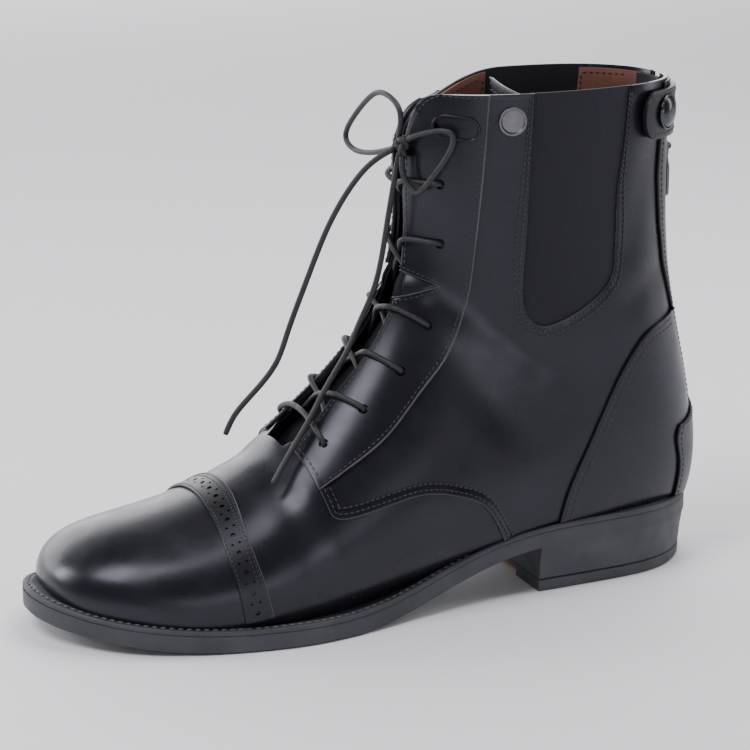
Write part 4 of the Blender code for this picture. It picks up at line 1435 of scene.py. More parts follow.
@dataclass
class Piecework:
    """One sub-assembly, with short ways to what the workshop holds."""

    shop: Workshop

    @property
    def last(self) -> Last:
        """The boot's form."""
        return self.shop.last

    @property
    def needle(self) -> Needle:
        """Needle with the leather's thread."""
        return self.shop.thread

    @property
    def finishes(self) -> Finishes:
        """The boot's finishes."""
        return self.shop.finishes

    def cut_edge(self, places: Array, offset: float, radius: float) -> None:
        """Lay a pale tube along places of the last, with its middle at an offset, as a painted highlight on
        a leather edge.
        """
        path = even_path(self.last.point(*places.T, offset), 0.9)
        self.shop.edges.append(tube("cut_edge", path, radius, 6))

    def sheet(self, name: str, place: Place, cells: tuple[int, int], outer: float | Height, thickness: float,
              rounding: float) -> Item:
        """Closed sheet at an offset of the last.

        Args:
            name: Name of the piece.
            place: Rows and angles for u and v.
            cells: Cells along u and v.
            outer: Height of its outer face, or a function of u and v.
            thickness: Thickness in millimetres.
            rounding: Width of its rounded rim.

        Returns:
            The piece, shaded smooth.
        """
        item, u, v = add_grid(name, *cells)
        row, angle = place(u, v)
        write_points(item, self.last.point(row, angle, outer(u, v) if callable(outer) else outer))
        face_outwards(item, self.last.normal(row, angle))
        thicken(item, thickness, rounding)
        shade(item)
        return item


def ruled(first: Array, second: Array, sign: float = 1.0) -> Place:
    """Patch between two lines of places.

    Args:
        first: Rows and angles at u = 0, along v.
        second: Rows and angles at u = 1, along v.
        sign: Sign given to the angles.

    Returns:
        Function from u and v to rows and angles.
    """

    def place(u: Array, v: Array) -> tuple[Array, Array]:
        """Row and angle on the straight rule between the lines."""
        near, far = (columns_at(v, np.linspace(0.0, 1.0, len(line)), line) for line in (first, second))
        return tuple(np.moveaxis((near + (far - near) * u[..., None]) * (1.0, sign), -1, 0))

    return place


def rule_line(place: Place, u: float, count: int = 160, span: Pair = (0.0, 1.0)) -> Array:
    """Places along v at one u."""
    return np.stack(place(np.full(count, u), np.linspace(*span, count)), 1)


def cross_line(place: Place, v: float, count: int = 60, span: Pair = (0.0, 1.0)) -> Array:
    """Places along u at one v."""
    return np.stack(place(np.linspace(*span, count), np.full(count, v)), 1)


@dataclass
class UpperShell(Piecework):
    """Outer leather or lining of the upper, open at the collar, throat, gusset windows and zip."""

    name: str
    outer: float
    thickness: float
    rounding: float
    throat_margin: float
    window_grow: float
    around: int = 150
    vamp_cells: int = 64
    shaft_cells: int = 96
    top_row: float = COLLAR_ROW
    inner_shift: float = 0.0
    foot_draw: float = 8.6
    half_slot: float = ZIP_HALF_SLOT + 0.3

    def rows(self, v: Array) -> Array:
        """Rows for v, with a grid line on the throat's lower edge."""
        split = self.vamp_cells / (self.vamp_cells + self.shaft_cells)
        return np.interp(v, (0.0, split, 1.0), (0.004, THROAT_ROW, self.top_row))

    def hole_half(self, row: Array, sign: Array) -> Array:
        """Half width of the throat's hole, which stays under the facings."""
        foot = self.foot_draw * smooth_step((5.0 - row) / 0.5)
        return throat_half(row, sign) + self.throat_margin - foot

    def shift(self, sign: Array) -> Array:
        """Side-view shift of the window, for the sign of each side."""
        return np.where(sign[:, None] > 0.0, (self.inner_shift, 0.0), 0.0)

    def build(self) -> Item:
        """Shape the shell, cut its openings and give it its thickness.

        Returns:
            The shell.
        """
        item, u, v = add_grid(self.name, self.around, self.vamp_cells + self.shaft_cells)
        row = self.rows(v)
        steps = np.linspace(0.0, 1.0, 400)
        limits = [np.interp(v, steps, self.last.side_limit(self.rows(steps), side, self.half_slot))
                  for side in Side]
        angle = np.where(u < 0.5, -(1.0 - 2.0 * u) * limits[0], (2.0 * u - 1.0) * limits[1])
        write_points(item, self.last.point(row, angle, self.outer))
        face_outwards(item, self.last.normal(row, angle))
        row, angle = self.open_up(item, row, angle)
        write_points(item, self.last.point(row, angle, self.outer))
        merge_close(item, 0.05)
        thicken(item, self.thickness, self.rounding)
        shade(item)
        return item

    def open_up(self, item: Item, row: Array, angle: Array) -> tuple[Array, Array]:
        """Delete the faces in the openings and draw the openings' edges onto their outlines.

        Args:
            item: The grid.
            row: Row of each vertex.
            angle: Angle of each vertex.

        Returns:
            Rows and angles of the vertices that stay.
        """
        last = self.last
        outline = gusset_outline(160, self.window_grow)
        corners = corners_of(item)
        centre = last.base(row, angle)[corners].mean(1)
        middle_row = row[corners].mean(1)
        middle_angle = angle[corners].mean(1)
        out = np.abs(centre[:, 1] - last.base(middle_row, 0.0)[:, 1])
        throat = (middle_row > THROAT_ROW) & (np.abs(middle_angle) < 1.2)
        throat &= out < self.hole_half(middle_row, middle_angle)
        seen = centre[:, (0, 2)] - self.shift(centre[:, 1])
        window = (np.abs(centre[:, 1]) > 14.0) & in_outline(seen, outline)
        at_throat = np.zeros(len(row))
        at_throat[np.unique(corners[throat])] = 1.0
        at_window = np.zeros(len(row))
        at_window[np.unique(corners[window])] = 1.0
        row, angle, at_throat, at_window = drop_faces(
            item, throat | window, (row, angle, at_throat, at_window))
        lips = np.flatnonzero((at_throat > 0.5) & (at_window < 0.5) & (row > THROAT_ROW + 0.01))
        out = self.hole_half(row[lips], angle[lips])
        angle[lips] = np.sign(angle[lips]) * last.angle_out(row[lips], out)
        moved = np.flatnonzero(at_window > 0.5)
        shift = self.shift(angle[moved])
        seen = last.base(row[moved], angle[moved])[:, (0, 2)] - shift
        nearest = outline[((seen[:, None] - outline[None]) ** 2).sum(-1).argmin(1)]
        places = last.place_of(nearest + shift)
        at_collar = row[moved] > self.top_row - 1e-3
        row[moved] = np.where(at_collar, self.top_row, np.minimum(places[:, 0], self.top_row))
        angle[moved] = np.sign(angle[moved]) * places[:, 1]
        return row, angle


@dataclass
class Upper(Piecework):
    """The upper: leather shell, lining, gussets, tongue and lapped seams."""

    elastic_x: Pair = (47.5, 107.5)
    elastic_z: Pair = (106.0, 206.0)
    elastic_top: float = -0.55
    elastic_thick: float = 1.2
    lining_stitch: Point = (1.8, 0.7, 0.5)
    tongue_top: float = 10.36
    tongue_thick: float = 1.7
    tongue_low: float = WALL + 0.4
    lap: float = 4.8
    wing_foot: Point = (52.0, -27.6, 160.0)
    wing_width: float = 20.0
    wing_reach: float = 12.5
    wing_rise: float = 43.4

    def build(self) -> None:
        """Make every piece of the upper."""
        shell = UpperShell(self.shop, "upper_leather", 0.0, LEATHER, 0.4, throat_margin=2.6, window_grow=0.0)
        dress(shell.build(), self.finishes.leather, ("upper",))
        lining = UpperShell(self.shop, "upper_lining", -LEATHER - 0.1, 1.0, 0.25, throat_margin=5.5,
                            window_grow=-1.2, around=110, vamp_cells=40, shaft_cells=64,
                            top_row=COLLAR_ROW - 0.02, inner_shift=LINING_SHIFT, foot_draw=0.0,
                            half_slot=9.0)
        dress(lining.build(), self.finishes.lining)
        self.gussets()
        self.tongue()
        self.wing()
        self.quarter_edges()

    def gussets(self) -> None:
        """Elastic panels behind the windows, with their sewn borders."""
        heights = np.linspace(*self.elastic_z, 60)
        front, back = (below_collar(self.last.place_of(np.stack([np.full(60, x), heights], 1)))
                       for x in self.elastic_x)
        for side in Side:
            name = "gusset_" + side.word
            item = self.sheet(name + "_elastic", ruled(front, back, side.value), (70, 100), self.elastic_top,
                              self.elastic_thick, 0.2)
            dress(item, self.finishes.elastic, (name,))
            for grow, slant, pitch in ((1.8, 0.5, 2.0), (4.2, 0.0, 2.3)):
                places = side.put(self.last.place_of(gusset_outline(300, grow)))
                places = places[places[:, 0] < COLLAR_ROW - 0.02]
                self.needle.sew_places(places, 0.15, pitch, (2.0, 0.75, 0.7), slant)
            self.lining_border(side)

    def lining_border(self, side: Side) -> None:
        """Dark stitches on the lining, beside the gusset and below the collar.

        Args:
            side: Side of the foot.
        """
        inner = -LEATHER - 1.15
        shift, turn = (LINING_SHIFT, 0.15) if side is Side.MEDIAL else (0.0, 0.0)
        ring = side.put(self.last.place_of(gusset_outline(300, 1.4) + (shift, 0.0)))
        seam_z = self.last.base(COLLAR_ROW, ring[:, 1])[:, 2] - LINING_SEAM_DROP
        rows = [ring[self.last.base(*ring.T)[:, 2] < seam_z]]
        for first, final in ((0.75, 1.24 + turn), (2.1 + turn, 2.7)):
            angles = side.value * np.linspace(first, final, 60)
            seam_z = self.last.base(COLLAR_ROW, angles)[:, 2] - LINING_SEAM_DROP
            rows.append(np.stack([self.last.row_at_height(angles, seam_z), angles], 1))
        for places in rows:
            self.needle.sew_places(places, inner, STITCH_PITCH, self.lining_stitch)

    def tongue(self) -> None:
        """Tongue under the throat, sewn down at the vamp."""
        rows, angles = below_collar(self.last.place_of(Spline(TONGUE_EDGE).line(70))).T

        def place(u: Array, v: Array) -> tuple[Array, Array]:
            """From the outer to the inner edge of the tongue by u, upwards by v.

            Args:
                u: Places across the piece.
                v: Places along it.

            Returns:
                Rows and angles.
            """
            low = rows[0] - 0.16 * np.sin(math.pi * u)
            row = low + (self.tongue_top - low) * v
            return row, (2.0 * u - 1.0) * np.interp(row, rows, angles)

        def height(u: Array, v: Array) -> Array:
            """Drop away from the vamp to leave room for the lace."""
            fall = smooth_step((place(u, v)[0] - 4.2) / 0.35)
            return -self.tongue_low - (TONGUE_DEPTH - self.tongue_low) * fall

        # Its dark finish paints the shade that lies in the throat over the tongue.
        item = self.sheet("tongue_leather", place, (64, 150), height, self.tongue_thick, 0.4)
        dress(item, self.finishes.tongue, ("tongue",))

    def wing(self) -> None:
        """Outer wing of the tongue, folded in across the collar and sewn along its top."""
        item, u, v = add_grid("tongue_wing", 30, 50)
        write_points(item, self.wing_spot(u, v))
        face_outwards(item, np.tile((-1.0, -0.5, 0.0), (len(u), 1)))
        thicken(item, 1.4, 0.4)
        shade(item)
        share = np.linspace(0.0, 1.0, 60)
        towards = np.tile((-1.0, 0.0, 0.0), (60, 1))
        for drop in (0.045, 0.10):
            row = self.wing_spot(share, np.full(60, 1.0 - drop)) - (0.1, 0.0, 0.0)
            self.needle.sew(row, towards, 2.2, (1.7, 0.6, 0.6))
        # Pale tube along the top edge: painted highlight.
        top = even_path(self.wing_spot(share, np.ones(60)), 0.9)
        self.shop.edges.append(tube("cut_edge", top, 0.4, 6))
        dress(item, self.finishes.leather)

    def wing_spot(self, u: Array, v: Array) -> Array:
        """Points of the wing, which turns inwards on its way up.

        Args:
            u: From the wall to the free edge.
            v: From the foot to the top.

        Returns:
            Points in millimetres.
        """
        turn = 0.5 * math.pi * smooth_step((v - 0.1) / 0.75)
        reach = u * (self.wing_width + self.wing_reach * v)
        bow = 1.6 * np.sin(math.pi * u) * np.sin(turn)
        x = self.wing_foot[0] - reach * np.cos(turn) - bow
        y = self.wing_foot[1] + reach * np.sin(turn) + 1.5 * u * np.cos(turn)
        return np.stack([x, y, self.wing_foot[2] + v * (self.wing_rise + 3.0 * u)], -1)

    def quarter_edges(self) -> None:
        """Lapped edge of each quarter over the vamp, with two rows of stitches."""
        seam = Spline(QUARTER_SEAM).line(90)
        first = self.last.place_of(seam)
        second = self.last.place_of(inset_line(seam, self.lap))

        def height(u: Array, v: Array) -> Array:
            """Full thickness at the edge, running out into the quarter."""
            return 1.05 * (1.0 - smooth_step(u)) - 0.10

        for side in Side:
            name = "quarter_edge_" + side.word
            place = ruled(first, second, side.value)
            item = self.sheet(name + "_leather", place, (24, 120), height, 0.9, 0.3)
            dress(item, self.finishes.leather, (name,))
            for inset, rise in ((1.6, 0.95), (3.8, 0.75)):
                self.needle.sew_places(side.put(self.last.place_of(inset_line(seam, inset))), rise, 2.3)
            # Pale tube along the lapped edge: painted highlight.
            self.cut_edge(side.put(first), 0.65, 0.28)


@dataclass
class Facings(Piecework):
    """Eyelet facings with punched holes, flex inserts and the stitched keeper at the top eyelet."""

    hole_sides: int = 22
    low_row: float = 4.6
    stitch_rise: float = OVERLAY_TOP + 0.02
    edge_rise: float = OVERLAY_TOP - 0.3
    bellows_rows: Pair = (4.35, 10.1)
    bellows_out: Pair = (0.6, 24.0)
    keeper_centre: Pair = (25.0, 191.8)
    keeper_half: float = 3.5
    keeper_radius: float = 3.6

    def build(self) -> None:
        """Make both facings."""
        rows = np.linspace(self.low_row, COLLAR_ROW, 900)
        seam = below_collar(self.last.place_of(Spline(FACING_SEAM).line(160)))[::-1]
        for side in Side:
            angles = self.last.angle_out(rows, throat_half(rows, side.value))
            lengths = path_lengths(self.last.base(rows, angles))
            edge = columns_at(np.linspace(0.0, lengths[-1], 300), lengths, np.stack([rows, angles], 1))
            place = ruled(edge, seam, side.value)
            name = "facing_" + side.word
            item = self.sheet(name + "_leather", place, (44, 190), OVERLAY_TOP, OVERLAY, 0.35)
            combine(item, self.eyelet_pegs(side))
            combine(item, self.notch(side))
            shade(item)
            dress(item, self.finishes.leather, (name,))
            self.insert(side)
            self.keeper(side)
            self.stitches(place)
            self.bellows(side)

    def bellows(self, side: Side) -> None:
        """Thin black leather under the facing, which shuts the throat against the lining.

        Args:
            side: Side of the foot.
        """
        rows = np.linspace(*self.bellows_rows, 90)
        near, far = (np.stack([rows, self.last.angle_out(rows, throat_half(rows) + out)], 1)
                     for out in self.bellows_out)

        def height(u: Array, v: Array) -> Array:
            """Against the upper at the throat, flat under the eyelets, then down to the tongue."""
            rim = (WALL - LEATHER) * (1.0 - smooth_step(u / 0.18))
            return rim - WALL - 0.05 - (TONGUE_DEPTH - WALL - 0.2) * smooth_step((u - 0.6) / 0.4)

        item = self.sheet("bellows_" + side.word, ruled(near, far, side.value), (20, 90), height, 0.25, 0.0)
        combine(item, self.eyelet_pegs(side, LACED_PAIRS))
        shade(item)
        dress(item, self.finishes.trim)

    def eyelet_pegs(self, side: Side, count: int = len(EYELETS)) -> Item:
        """Pegs through the eyelets of one side.

        Args:
            side: Side of the foot.
            count: Number of eyelets, from the lowest.

        Returns:
            The pegs as one object.
        """
        pegs = []
        for eyelet in EYELETS[:count]:
            angle = side.value * self.last.angle_out(*eyelet)
            centre = self.last.point(eyelet.row, angle, 0.5)
            normal = self.last.normal(eyelet.row, angle)
            pegs.append(peg(centre, normal, EYELET_RADIUS, 9.0, self.hole_sides))
        return join(pegs)

    def notch(self, side: Side) -> Item:
        """Cutter of the flex notch at the ankle.

        Args:
            side: Side of the foot.

        Returns:
            The cutter.
        """
        corners = np.array((NOTCH_UPPER, NOTCH_LOWER, NOTCH_TIP))

        def shape(turn: Array, flat: Array) -> Array:
            """From near the middle plane to well outside the facing."""
            depth = np.where(flat[:, 2] > 0.0, 60.0, 1.0) * side.value
            return np.stack([corners[turn, 0], depth, corners[turn, 1]], 1)

        return prism("notch_cutter", 3, shape)

    def insert(self, side: Side) -> None:
        """Soft leather under the flex notch, and the notch's sewn arms.

        Args:
            side: Side of the foot.
        """
        top, low = (self.last.place_of(line) for line in (INSERT_TOP, INSERT_LOW))

        def height(u: Array, v: Array) -> Array:
            """Puffed in the middle."""
            return -0.1 + 0.9 * np.sin(math.pi * u) ** 2

        tip = np.array(NOTCH_TIP)
        for start, first, outwards in ((NOTCH_UPPER, 0.38, 1.4), (NOTCH_LOWER, 0.26, -1.4)):
            line = start + (tip - start) * np.linspace(first, 1.0, 40)[:, None]
            # Pale tube along the notch's arm: painted highlight.
            self.cut_edge(side.put(self.last.place_of(line)), self.edge_rise, 0.3)
            places = side.put(self.last.place_of(line + (0.0, outwards)))
            self.needle.sew_places(places, self.stitch_rise, 2.0, (1.6, 0.6, 0.6))
        place = ruled(top, low, side.value)
        item = self.sheet("flex_insert_" + side.word, place, (16, 20), height, 0.8, 0.2)
        dress(item, self.finishes.leather)

    def keeper(self, side: Side) -> None:
        """Long rounded frame round the top eyelet.

        Args:
            side: Side of the foot.
        """
        turn = np.linspace(0.0, math.tau, 73)
        half = np.where(np.cos(turn) > 0.0, self.keeper_half, -self.keeper_half)
        long = self.keeper_radius * np.cos(turn) + half
        outline = np.stack([long, self.keeper_radius * np.sin(turn) - 0.1 * long], 1) + self.keeper_centre
        outline = even_path(np.concatenate([outline, outline[:1]]), 0.7)
        places = side.put(self.last.place_of(outline))
        places[-1] = places[0]
        path = self.last.point(*places.T, OVERLAY_TOP + 0.1)
        dress(tube("keeper_frame_" + side.word, path, 0.65, 8, closed=True), self.finishes.leather)

    def stitches(self, place: Place) -> None:
        """Rows and painted edge highlights along the throat, the seam, the foot and the collar.

        Args:
            place: Rows and angles of the facing.
        """
        rows = self.beside_notch(rule_line(place, 0.07, 400, (0.015, 0.985)))
        rows.append(rule_line(place, 0.955, 160, (0.015, 0.985)))
        rows += [cross_line(place, v, 60, (0.10, 0.93)) for v in (0.012, 0.985)]
        for places in rows:
            self.needle.sew_places(places, self.stitch_rise)
        # Pale tubes along the facing's edges: painted highlight.
        edges = [(part, 0.3) for part in self.beside_notch(rule_line(place, 0.0, 400, (0.003, 1.0)))]
        edges += [(rule_line(place, 1.0), 0.44), (cross_line(place, 0.0), 0.3)]
        for places, radius in edges:
            self.cut_edge(places, self.edge_rise, radius)

    def beside_notch(self, places: Array) -> list[Array]:
        """Parts of an upward line of places below and above the flex notch."""
        heights = self.last.base(*places.T)[:, 2]
        return [places[heights < NOTCH_Z[0]], places[heights > NOTCH_Z[1]]]


@dataclass
class ToeBand(Piecework):
    """Punched band across the toe."""

    top: float = 1.15
    thick: float = 1.05
    half_turn: float = 1.86
    hole_pitch: float = 8.2
    # Holes of one repeat as (share of the pitch, share of the width, radius).
    holes: tuple[Point, ...] = ((0.5, 0.48, 1.05), (1.0, 0.33, 0.55), (1.0, 0.64, 0.55))

    def build(self) -> None:
        """Make the band, punch it and sew its edges."""
        angles = np.linspace(-self.half_turn, self.half_turn, 240)
        front, back = (np.stack([self.last.rows_on_line(line, angles), angles], 1)
                       for line in (BAND_FRONT, BAND_BACK))
        place = ruled(front, back)
        item = self.sheet("toe_band_leather", place, (22, 170), self.top, self.thick, 0.3)
        dress(item, self.finishes.trim, ("toe_band",))
        lengths = path_lengths(self.last.point(*rule_line(place, 0.5, 900).T, 1.0))
        pegs = []
        for k in range(int(lengths[-1] / self.hole_pitch)):
            for shift, across, radius in self.holes:
                spot = np.interp((k + shift) * self.hole_pitch, lengths, np.linspace(0.0, 1.0, 900))
                row, angle = place(np.array(across), spot)
                centre = self.last.point(row, angle, 1.0)
                pegs.append(peg(centre, self.last.normal(row, angle), radius, 1.3, 10))
        combine(item, join(pegs))
        shade(item)
        # Pale tube along the band's back edge: painted highlight.
        self.cut_edge(rule_line(place, 1.0, 300), 0.85, 0.28)
        for u in (0.10, 0.78, 0.92):
            self.needle.sew_places(rule_line(place, u, 400), self.top + 0.01, 1.9, (1.3, 0.5, 0.5))


@dataclass
class HeelLeather(Piecework):
    """Counter, back strips, heel tab and collar strap."""

    counter_top: float = 1.2
    counter_low_z: Pair = (28.0, 29.0)
    strip_top: float = 1.3
    strip_z: Pair = (49.0, 204.6)
    tab_top: float = 2.5
    strap_round: float = 0.085

    def build(self) -> None:
        """Make every leather piece round the heel and the back of the shaft."""
        self.counter()
        self.back_strips()
        self.heel_tab()
        self.strap()

    def strip_edge(self, heights: Array, extra: float = 0.0) -> Array:
        """Places of the strips' outer edge at heights."""
        out, z = np.array(BACK_STRIP_EDGE)[::-1].T
        return self.last.back_place(np.interp(heights, z, out) + extra, heights)

    def counter(self) -> None:
        """Counter of both sides, from its curved seam to the strips."""
        seam = Spline(COUNTER_SEAM).line(200)
        seam = seam[seam[:, 1] > self.counter_low_z[0]]
        first = self.last.place_of(seam)
        second = self.strip_edge(np.linspace(seam[0, 1], self.counter_low_z[1], 120), 0.2)
        items = []
        for side in Side:
            place = ruled(first, second, side.value)
            items.append(self.sheet("counter_" + side.word, place, (40, 110), self.counter_top, 1.1, 0.35))
            for inset in (1.8, 4.4):
                places = side.put(self.last.place_of(inset_line(seam, inset)[8:]))
                self.needle.sew_places(places, self.counter_top + 0.02)
        dress(join(items, "counter_leather"), self.finishes.leather, ("counter",))

    def back_strips(self) -> None:
        """Strips beside the zip."""
        heights = np.linspace(*self.strip_z, 150)
        outer = self.strip_edge(heights)
        inner = self.last.back_place(ZIP_HALF_SLOT + 0.1, heights)
        for side in Side:
            place = ruled(outer, inner, side.value)
            name = "back_strip_" + side.word
            item = self.sheet(name + "_leather", place, (22, 130), self.strip_top, 1.2, 0.35)
            dress(item, self.finishes.trim, (name,))
            for u in (0.12, 0.86):
                self.needle.sew_places(rule_line(place, u), self.strip_top + 0.02)

    def heel_tab(self) -> None:
        """Pointed tab over the counter's foot."""
        front = self.last.place_of(Spline(HEEL_TAB_FRONT).line(50))
        middle = self.last.row_at_height(np.full(40, math.pi), np.linspace(*HEEL_TAB_BACK_Z, 40))

        def place(u: Array, v: Array) -> tuple[Array, Array]:
            """Round the back by u, from the inner to the outer side, and down by v.

            Args:
                u: Places round the back.
                v: Places from top to bottom.

            Returns:
                Rows and angles.
            """
            reach = np.abs(2.0 * u - 1.0)
            edge = columns_at(v, np.linspace(0.0, 1.0, len(front)), front)
            back_row = np.interp(v, np.linspace(0.0, 1.0, 40), middle)
            angle = math.pi - (math.pi - edge[..., 1]) * reach
            row = back_row + (edge[..., 0] - back_row) * reach ** 1.6
            return row, np.where(u < 0.5, angle, math.tau - angle)

        item = self.sheet("heel_tab_leather", place, (80, 40), self.tab_top, 1.1, 0.35)
        dress(item, self.finishes.trim, ("heel_tab",))
        rows = [rule_line(place, u, 80, (0.03, 0.97)) for u in (0.035, 0.965)]
        for places in (*rows, cross_line(place, 0.05, 160, (0.03, 0.97))):
            self.needle.sew_places(places, self.tab_top + 0.02)

    def strap(self) -> None:
        """Round-ended strap over the zip's top, sewn round its edge."""
        end = self.last.place_of((STRAP_END,))[0, 1]
        middle_z = 0.5 * (STRAP_Z[0] + STRAP_Z[1])
        half_z = 0.5 * (STRAP_Z[1] - STRAP_Z[0])

        def place(u: Array, v: Array) -> tuple[Array, Array]:
            """Along the strap by u, closer at its ends, and across by v, drawn in to round ends.

            Args:
                u: Places along the strap.
                v: Places across it.

            Returns:
                Rows and angles.
            """
            along = 0.35 * (0.5 - 0.5 * np.cos(math.pi * u)) + 0.65 * u
            gap = np.clip(1.0 - np.minimum(along, 1.0 - along) / self.strap_round, 0.0, 1.0)
            half = half_z * np.sqrt(np.maximum(1.0 - gap ** 2.4, 0.02))
            angle = end + (math.tau - 2.0 * end) * along
            return self.last.row_at_height(angle, middle_z + (2.0 * v - 1.0) * half), angle

        top = STRAP_LOW + STRAP_THICK
        item = self.sheet("collar_strap_leather", place, (120, 20), top, STRAP_THICK, 0.5)
        dress(item, self.finishes.trim, ("collar_strap",))
        for v in (0.10, 0.90):
            self.needle.sew_places(cross_line(place, v, 240, (0.05, 0.95)), top + 0.02)


@dataclass
class Sole(Piecework):
    """Welt, outsole, heel and insole."""

    rib_first_x: float = -118.0
    rib_last_x: float = -34.0
    rib_pitch: float = 2.9
    rib_depth: float = 0.95
    rim_groove: float = 6.0
    waist_x: Pair = (-8.0, 44.0)
    frame_centre: Pair = (-18.0, -3.0)
    frame_half: Pair = (6.5, 20.0)
    across: int = 72
    lift_groove_x: Pair = (78.0, 96.0)
    inset_round_x: float = 108.0
    insole_margin: float = 9.5

    def build(self) -> None:
        """Make every piece of the sole."""
        finishes = self.finishes
        dress(self.welt(), finishes.rubber, ("welt",))
        dress(self.outsole(), finishes.rubber, ("outsole",))
        dress(self.loft("heel_block_rubber", self.heel_rings(HEEL_BLOCK)), finishes.rubber, ("heel_block",))
        dress(self.top_lift(), finishes.rubber, ("heel_top_lift",))
        dress(self.inset(), finishes.insert, ("heel_insert",))
        dress(self.insole(), finishes.lining, ("insole",))
        self.welt_stitches()

    def welt(self) -> Item:
        """Ledge round the whole sole with a sunk stitch line, falling off below the upper.

        Returns:
            The welt.
        """
        inset, rise = np.array(WELT_PROFILE).T
        points, inward = self.shop.sole.edge(520)
        plan = points[:, None] + inward[:, None] * inset[:, None]
        height = self.shop.sole.feather(points[:, 0])[:, None] + rise
        return rolled("welt_rubber", np.concatenate([plan, height[..., None]], -1), 50.0, wraps=True)

    def loft(self, name: str, rings: Array) -> Item:
        """Closed solid from a stack of closed rings, whose points come as (ring, place round it, axis)."""
        caps = [np.repeat(ring.mean(0)[None, None], rings.shape[1], 1) for ring in (rings[0], rings[-1])]
        return rolled(name, np.concatenate([caps[0], rings, caps[1]]), 42.0)

    def tread(self, x: Array, y: Array, gap: Array) -> Array:
        """Depth of the tread's grooves at points of the underside.

        Args:
            x: Places along the sole.
            y: Places across it.
            gap: Distance to the sole's edge.

        Returns:
            Depth in millimetres.
        """
        bowed = (x - self.rib_first_x) / self.rib_pitch + 0.0009 * y * y
        ribs = self.rib_depth * smooth_step(1.6 * np.abs(((bowed + 0.5) % 1.0) - 0.5) * 2.0 - 0.3)
        zone = smooth_step((x - self.rib_first_x) / 2.0) * smooth_step((self.rib_last_x - x) / 2.0)
        depth = (self.rib_depth - ribs) * zone * smooth_step((gap - 8.0) / 0.8)
        line = np.exp(-((gap - self.rim_groove) / 0.55) ** 2) * smooth_step((46.0 - x) / 4.0)
        waist = smooth_step((x - self.waist_x[0]) / 3.0) * smooth_step((self.waist_x[1] - x) / 3.0)
        arcs = np.exp(-((np.abs(y + 1.0) - 16.0 - 0.0025 * (x - 8.0) ** 2) / 0.5) ** 2) * waist
        frame_gap = np.maximum(np.abs(x - self.frame_centre[0]) - self.frame_half[0],
                               np.abs(y - self.frame_centre[1]) - self.frame_half[1])
        return depth + 0.7 * line + 0.6 * arcs + 0.6 * np.exp(-(frame_gap / 0.5) ** 2)

    def outsole(self) -> Item:
        """Outsole with its edge, arch, toe spring and tread.

        Returns:
            The outsole.
        """
        sole = self.shop.sole
        fine = np.arange(self.rib_first_x - 2.0, self.rib_last_x + 2.0, 0.45)
        x, outer, inner = sole.stations(330, fine).T
        half = 0.5 * (inner - outer)
        seat = smooth_step((x - HEEL_BREAST_X + 1.0) / 2.0)
        inset = np.minimum(0.8 - 0.5 * seat, 0.4 * half)
        share = np.linspace(0.0, 1.0, self.across)
        y = (outer + inset)[:, None] + ((inner - outer) - 2.0 * inset)[:, None] * share
        far = np.repeat(x[:, None], self.across, 1)
        gap = np.minimum(y - outer[:, None], inner[:, None] - y)
        gap = np.minimum(gap, 0.8 * (x - SOLE[0][0])[:, None])
        edge = 0.5 * (1.0 - smooth_step(gap / 1.6)) * (1.0 - seat[:, None])
        bottom = np.stack([far, y, sole.under(far) + edge + self.tread(far, y, gap)], -1)
        low = sole.under(x)
        rise = sole.feather(x) - WELT_THICK - 0.45 - low
        sides = []
        for rim, inwards, levels in ((inner, -1.0, OUTSOLE_EDGE), (outer, 1.0, OUTSOLE_EDGE[::-1])):
            for part, pull in levels:
                drawn = rim + inwards * np.minimum(pull, 0.3 * half)
                sides.append(np.stack([x, drawn, low + rise * part], -1))
        return self.loft("outsole_rubber", np.concatenate([bottom, np.stack(sides, 1)], 1))

    def heel_rings(self, levels: Sequence[HeelLevel]) -> Array:
        """Rings of a heel piece.

        Args:
            levels: The rings, bottom first.

        Returns:
            Closed rings with a straight breast.
        """
        points, inward = self.shop.sole.edge(700)
        seat = points[:, 0] >= HEEL_BREAST_X
        share = np.linspace(0.0, 1.0, 16)[1:-1, None]
        rings = []
        for level in levels:
            ring = points[seat] + inward[seat] * level.inset
            ring = np.concatenate([ring, ring[-1] + (ring[0] - ring[-1]) * share])
            ring[:, 0] = np.maximum(ring[:, 0], HEEL_BREAST_X)
            height = level.follow * self.shop.sole.under(ring[:, 0]) + level.rise
            rings.append(np.column_stack([ring, height]))
        return np.array(rings)

    def top_lift(self) -> Item:
        """Walking face of the heel with the pocket of its inset and its grooves.

        Returns:
            The top lift.
        """
        item = self.loft("heel_top_lift_rubber", self.heel_rings(HEEL_FACE))
        combine(item, self.pocket("pocket_cutter", HEEL_BREAST_X - 5.0, 15.0, (-2.0, 3.0)))
        bars = [peg((x, side.value * 26.5, 0.0), (0.0, 1.0, 0.0), 0.9, 17.0, 12)
                for x in self.lift_groove_x for side in Side]
        combine(item, join(bars))
        shade(item, 42.0)
        return item

    def pocket(self, name: str, front_x: float, half: float, span: Pair) -> Item:
        """Long block with one round end, open towards the breast.

        Args:
            name: Name of the block.
            front_x: Its front end.
            half: Half its width at the round end.
            span: Its lower and upper height.

        Returns:
            The block.
        """

        def shape(turn: Array, flat: Array) -> Array:
            """Half circle behind, narrower straight end in front.

            Args:
                turn: Numbers round the axis, not used.
                flat: Places on a cylinder of radius 1.

            Returns:
                Points in millimetres.
            """
            round_end = flat[:, 0] > 0.0
            x = np.where(round_end, self.inset_round_x + flat[:, 0] * (half + 2.0), front_x)
            y = flat[:, 1] * half * np.where(round_end, 1.0, 0.8)
            return np.stack([x, y, np.where(flat[:, 2] > 0.0, span[1], span[0])], 1)

        return prism(name, 64, shape)

    def inset(self) -> Item:
        """Coloured inset of the walking face.

        Returns:
            The inset.
        """
        item = self.pocket("heel_inset_rubber", HEEL_BREAST_X + 2.6, 14.7, (0.3, 2.7))
        ease(item, 0.4)
        shade(item)
        return item

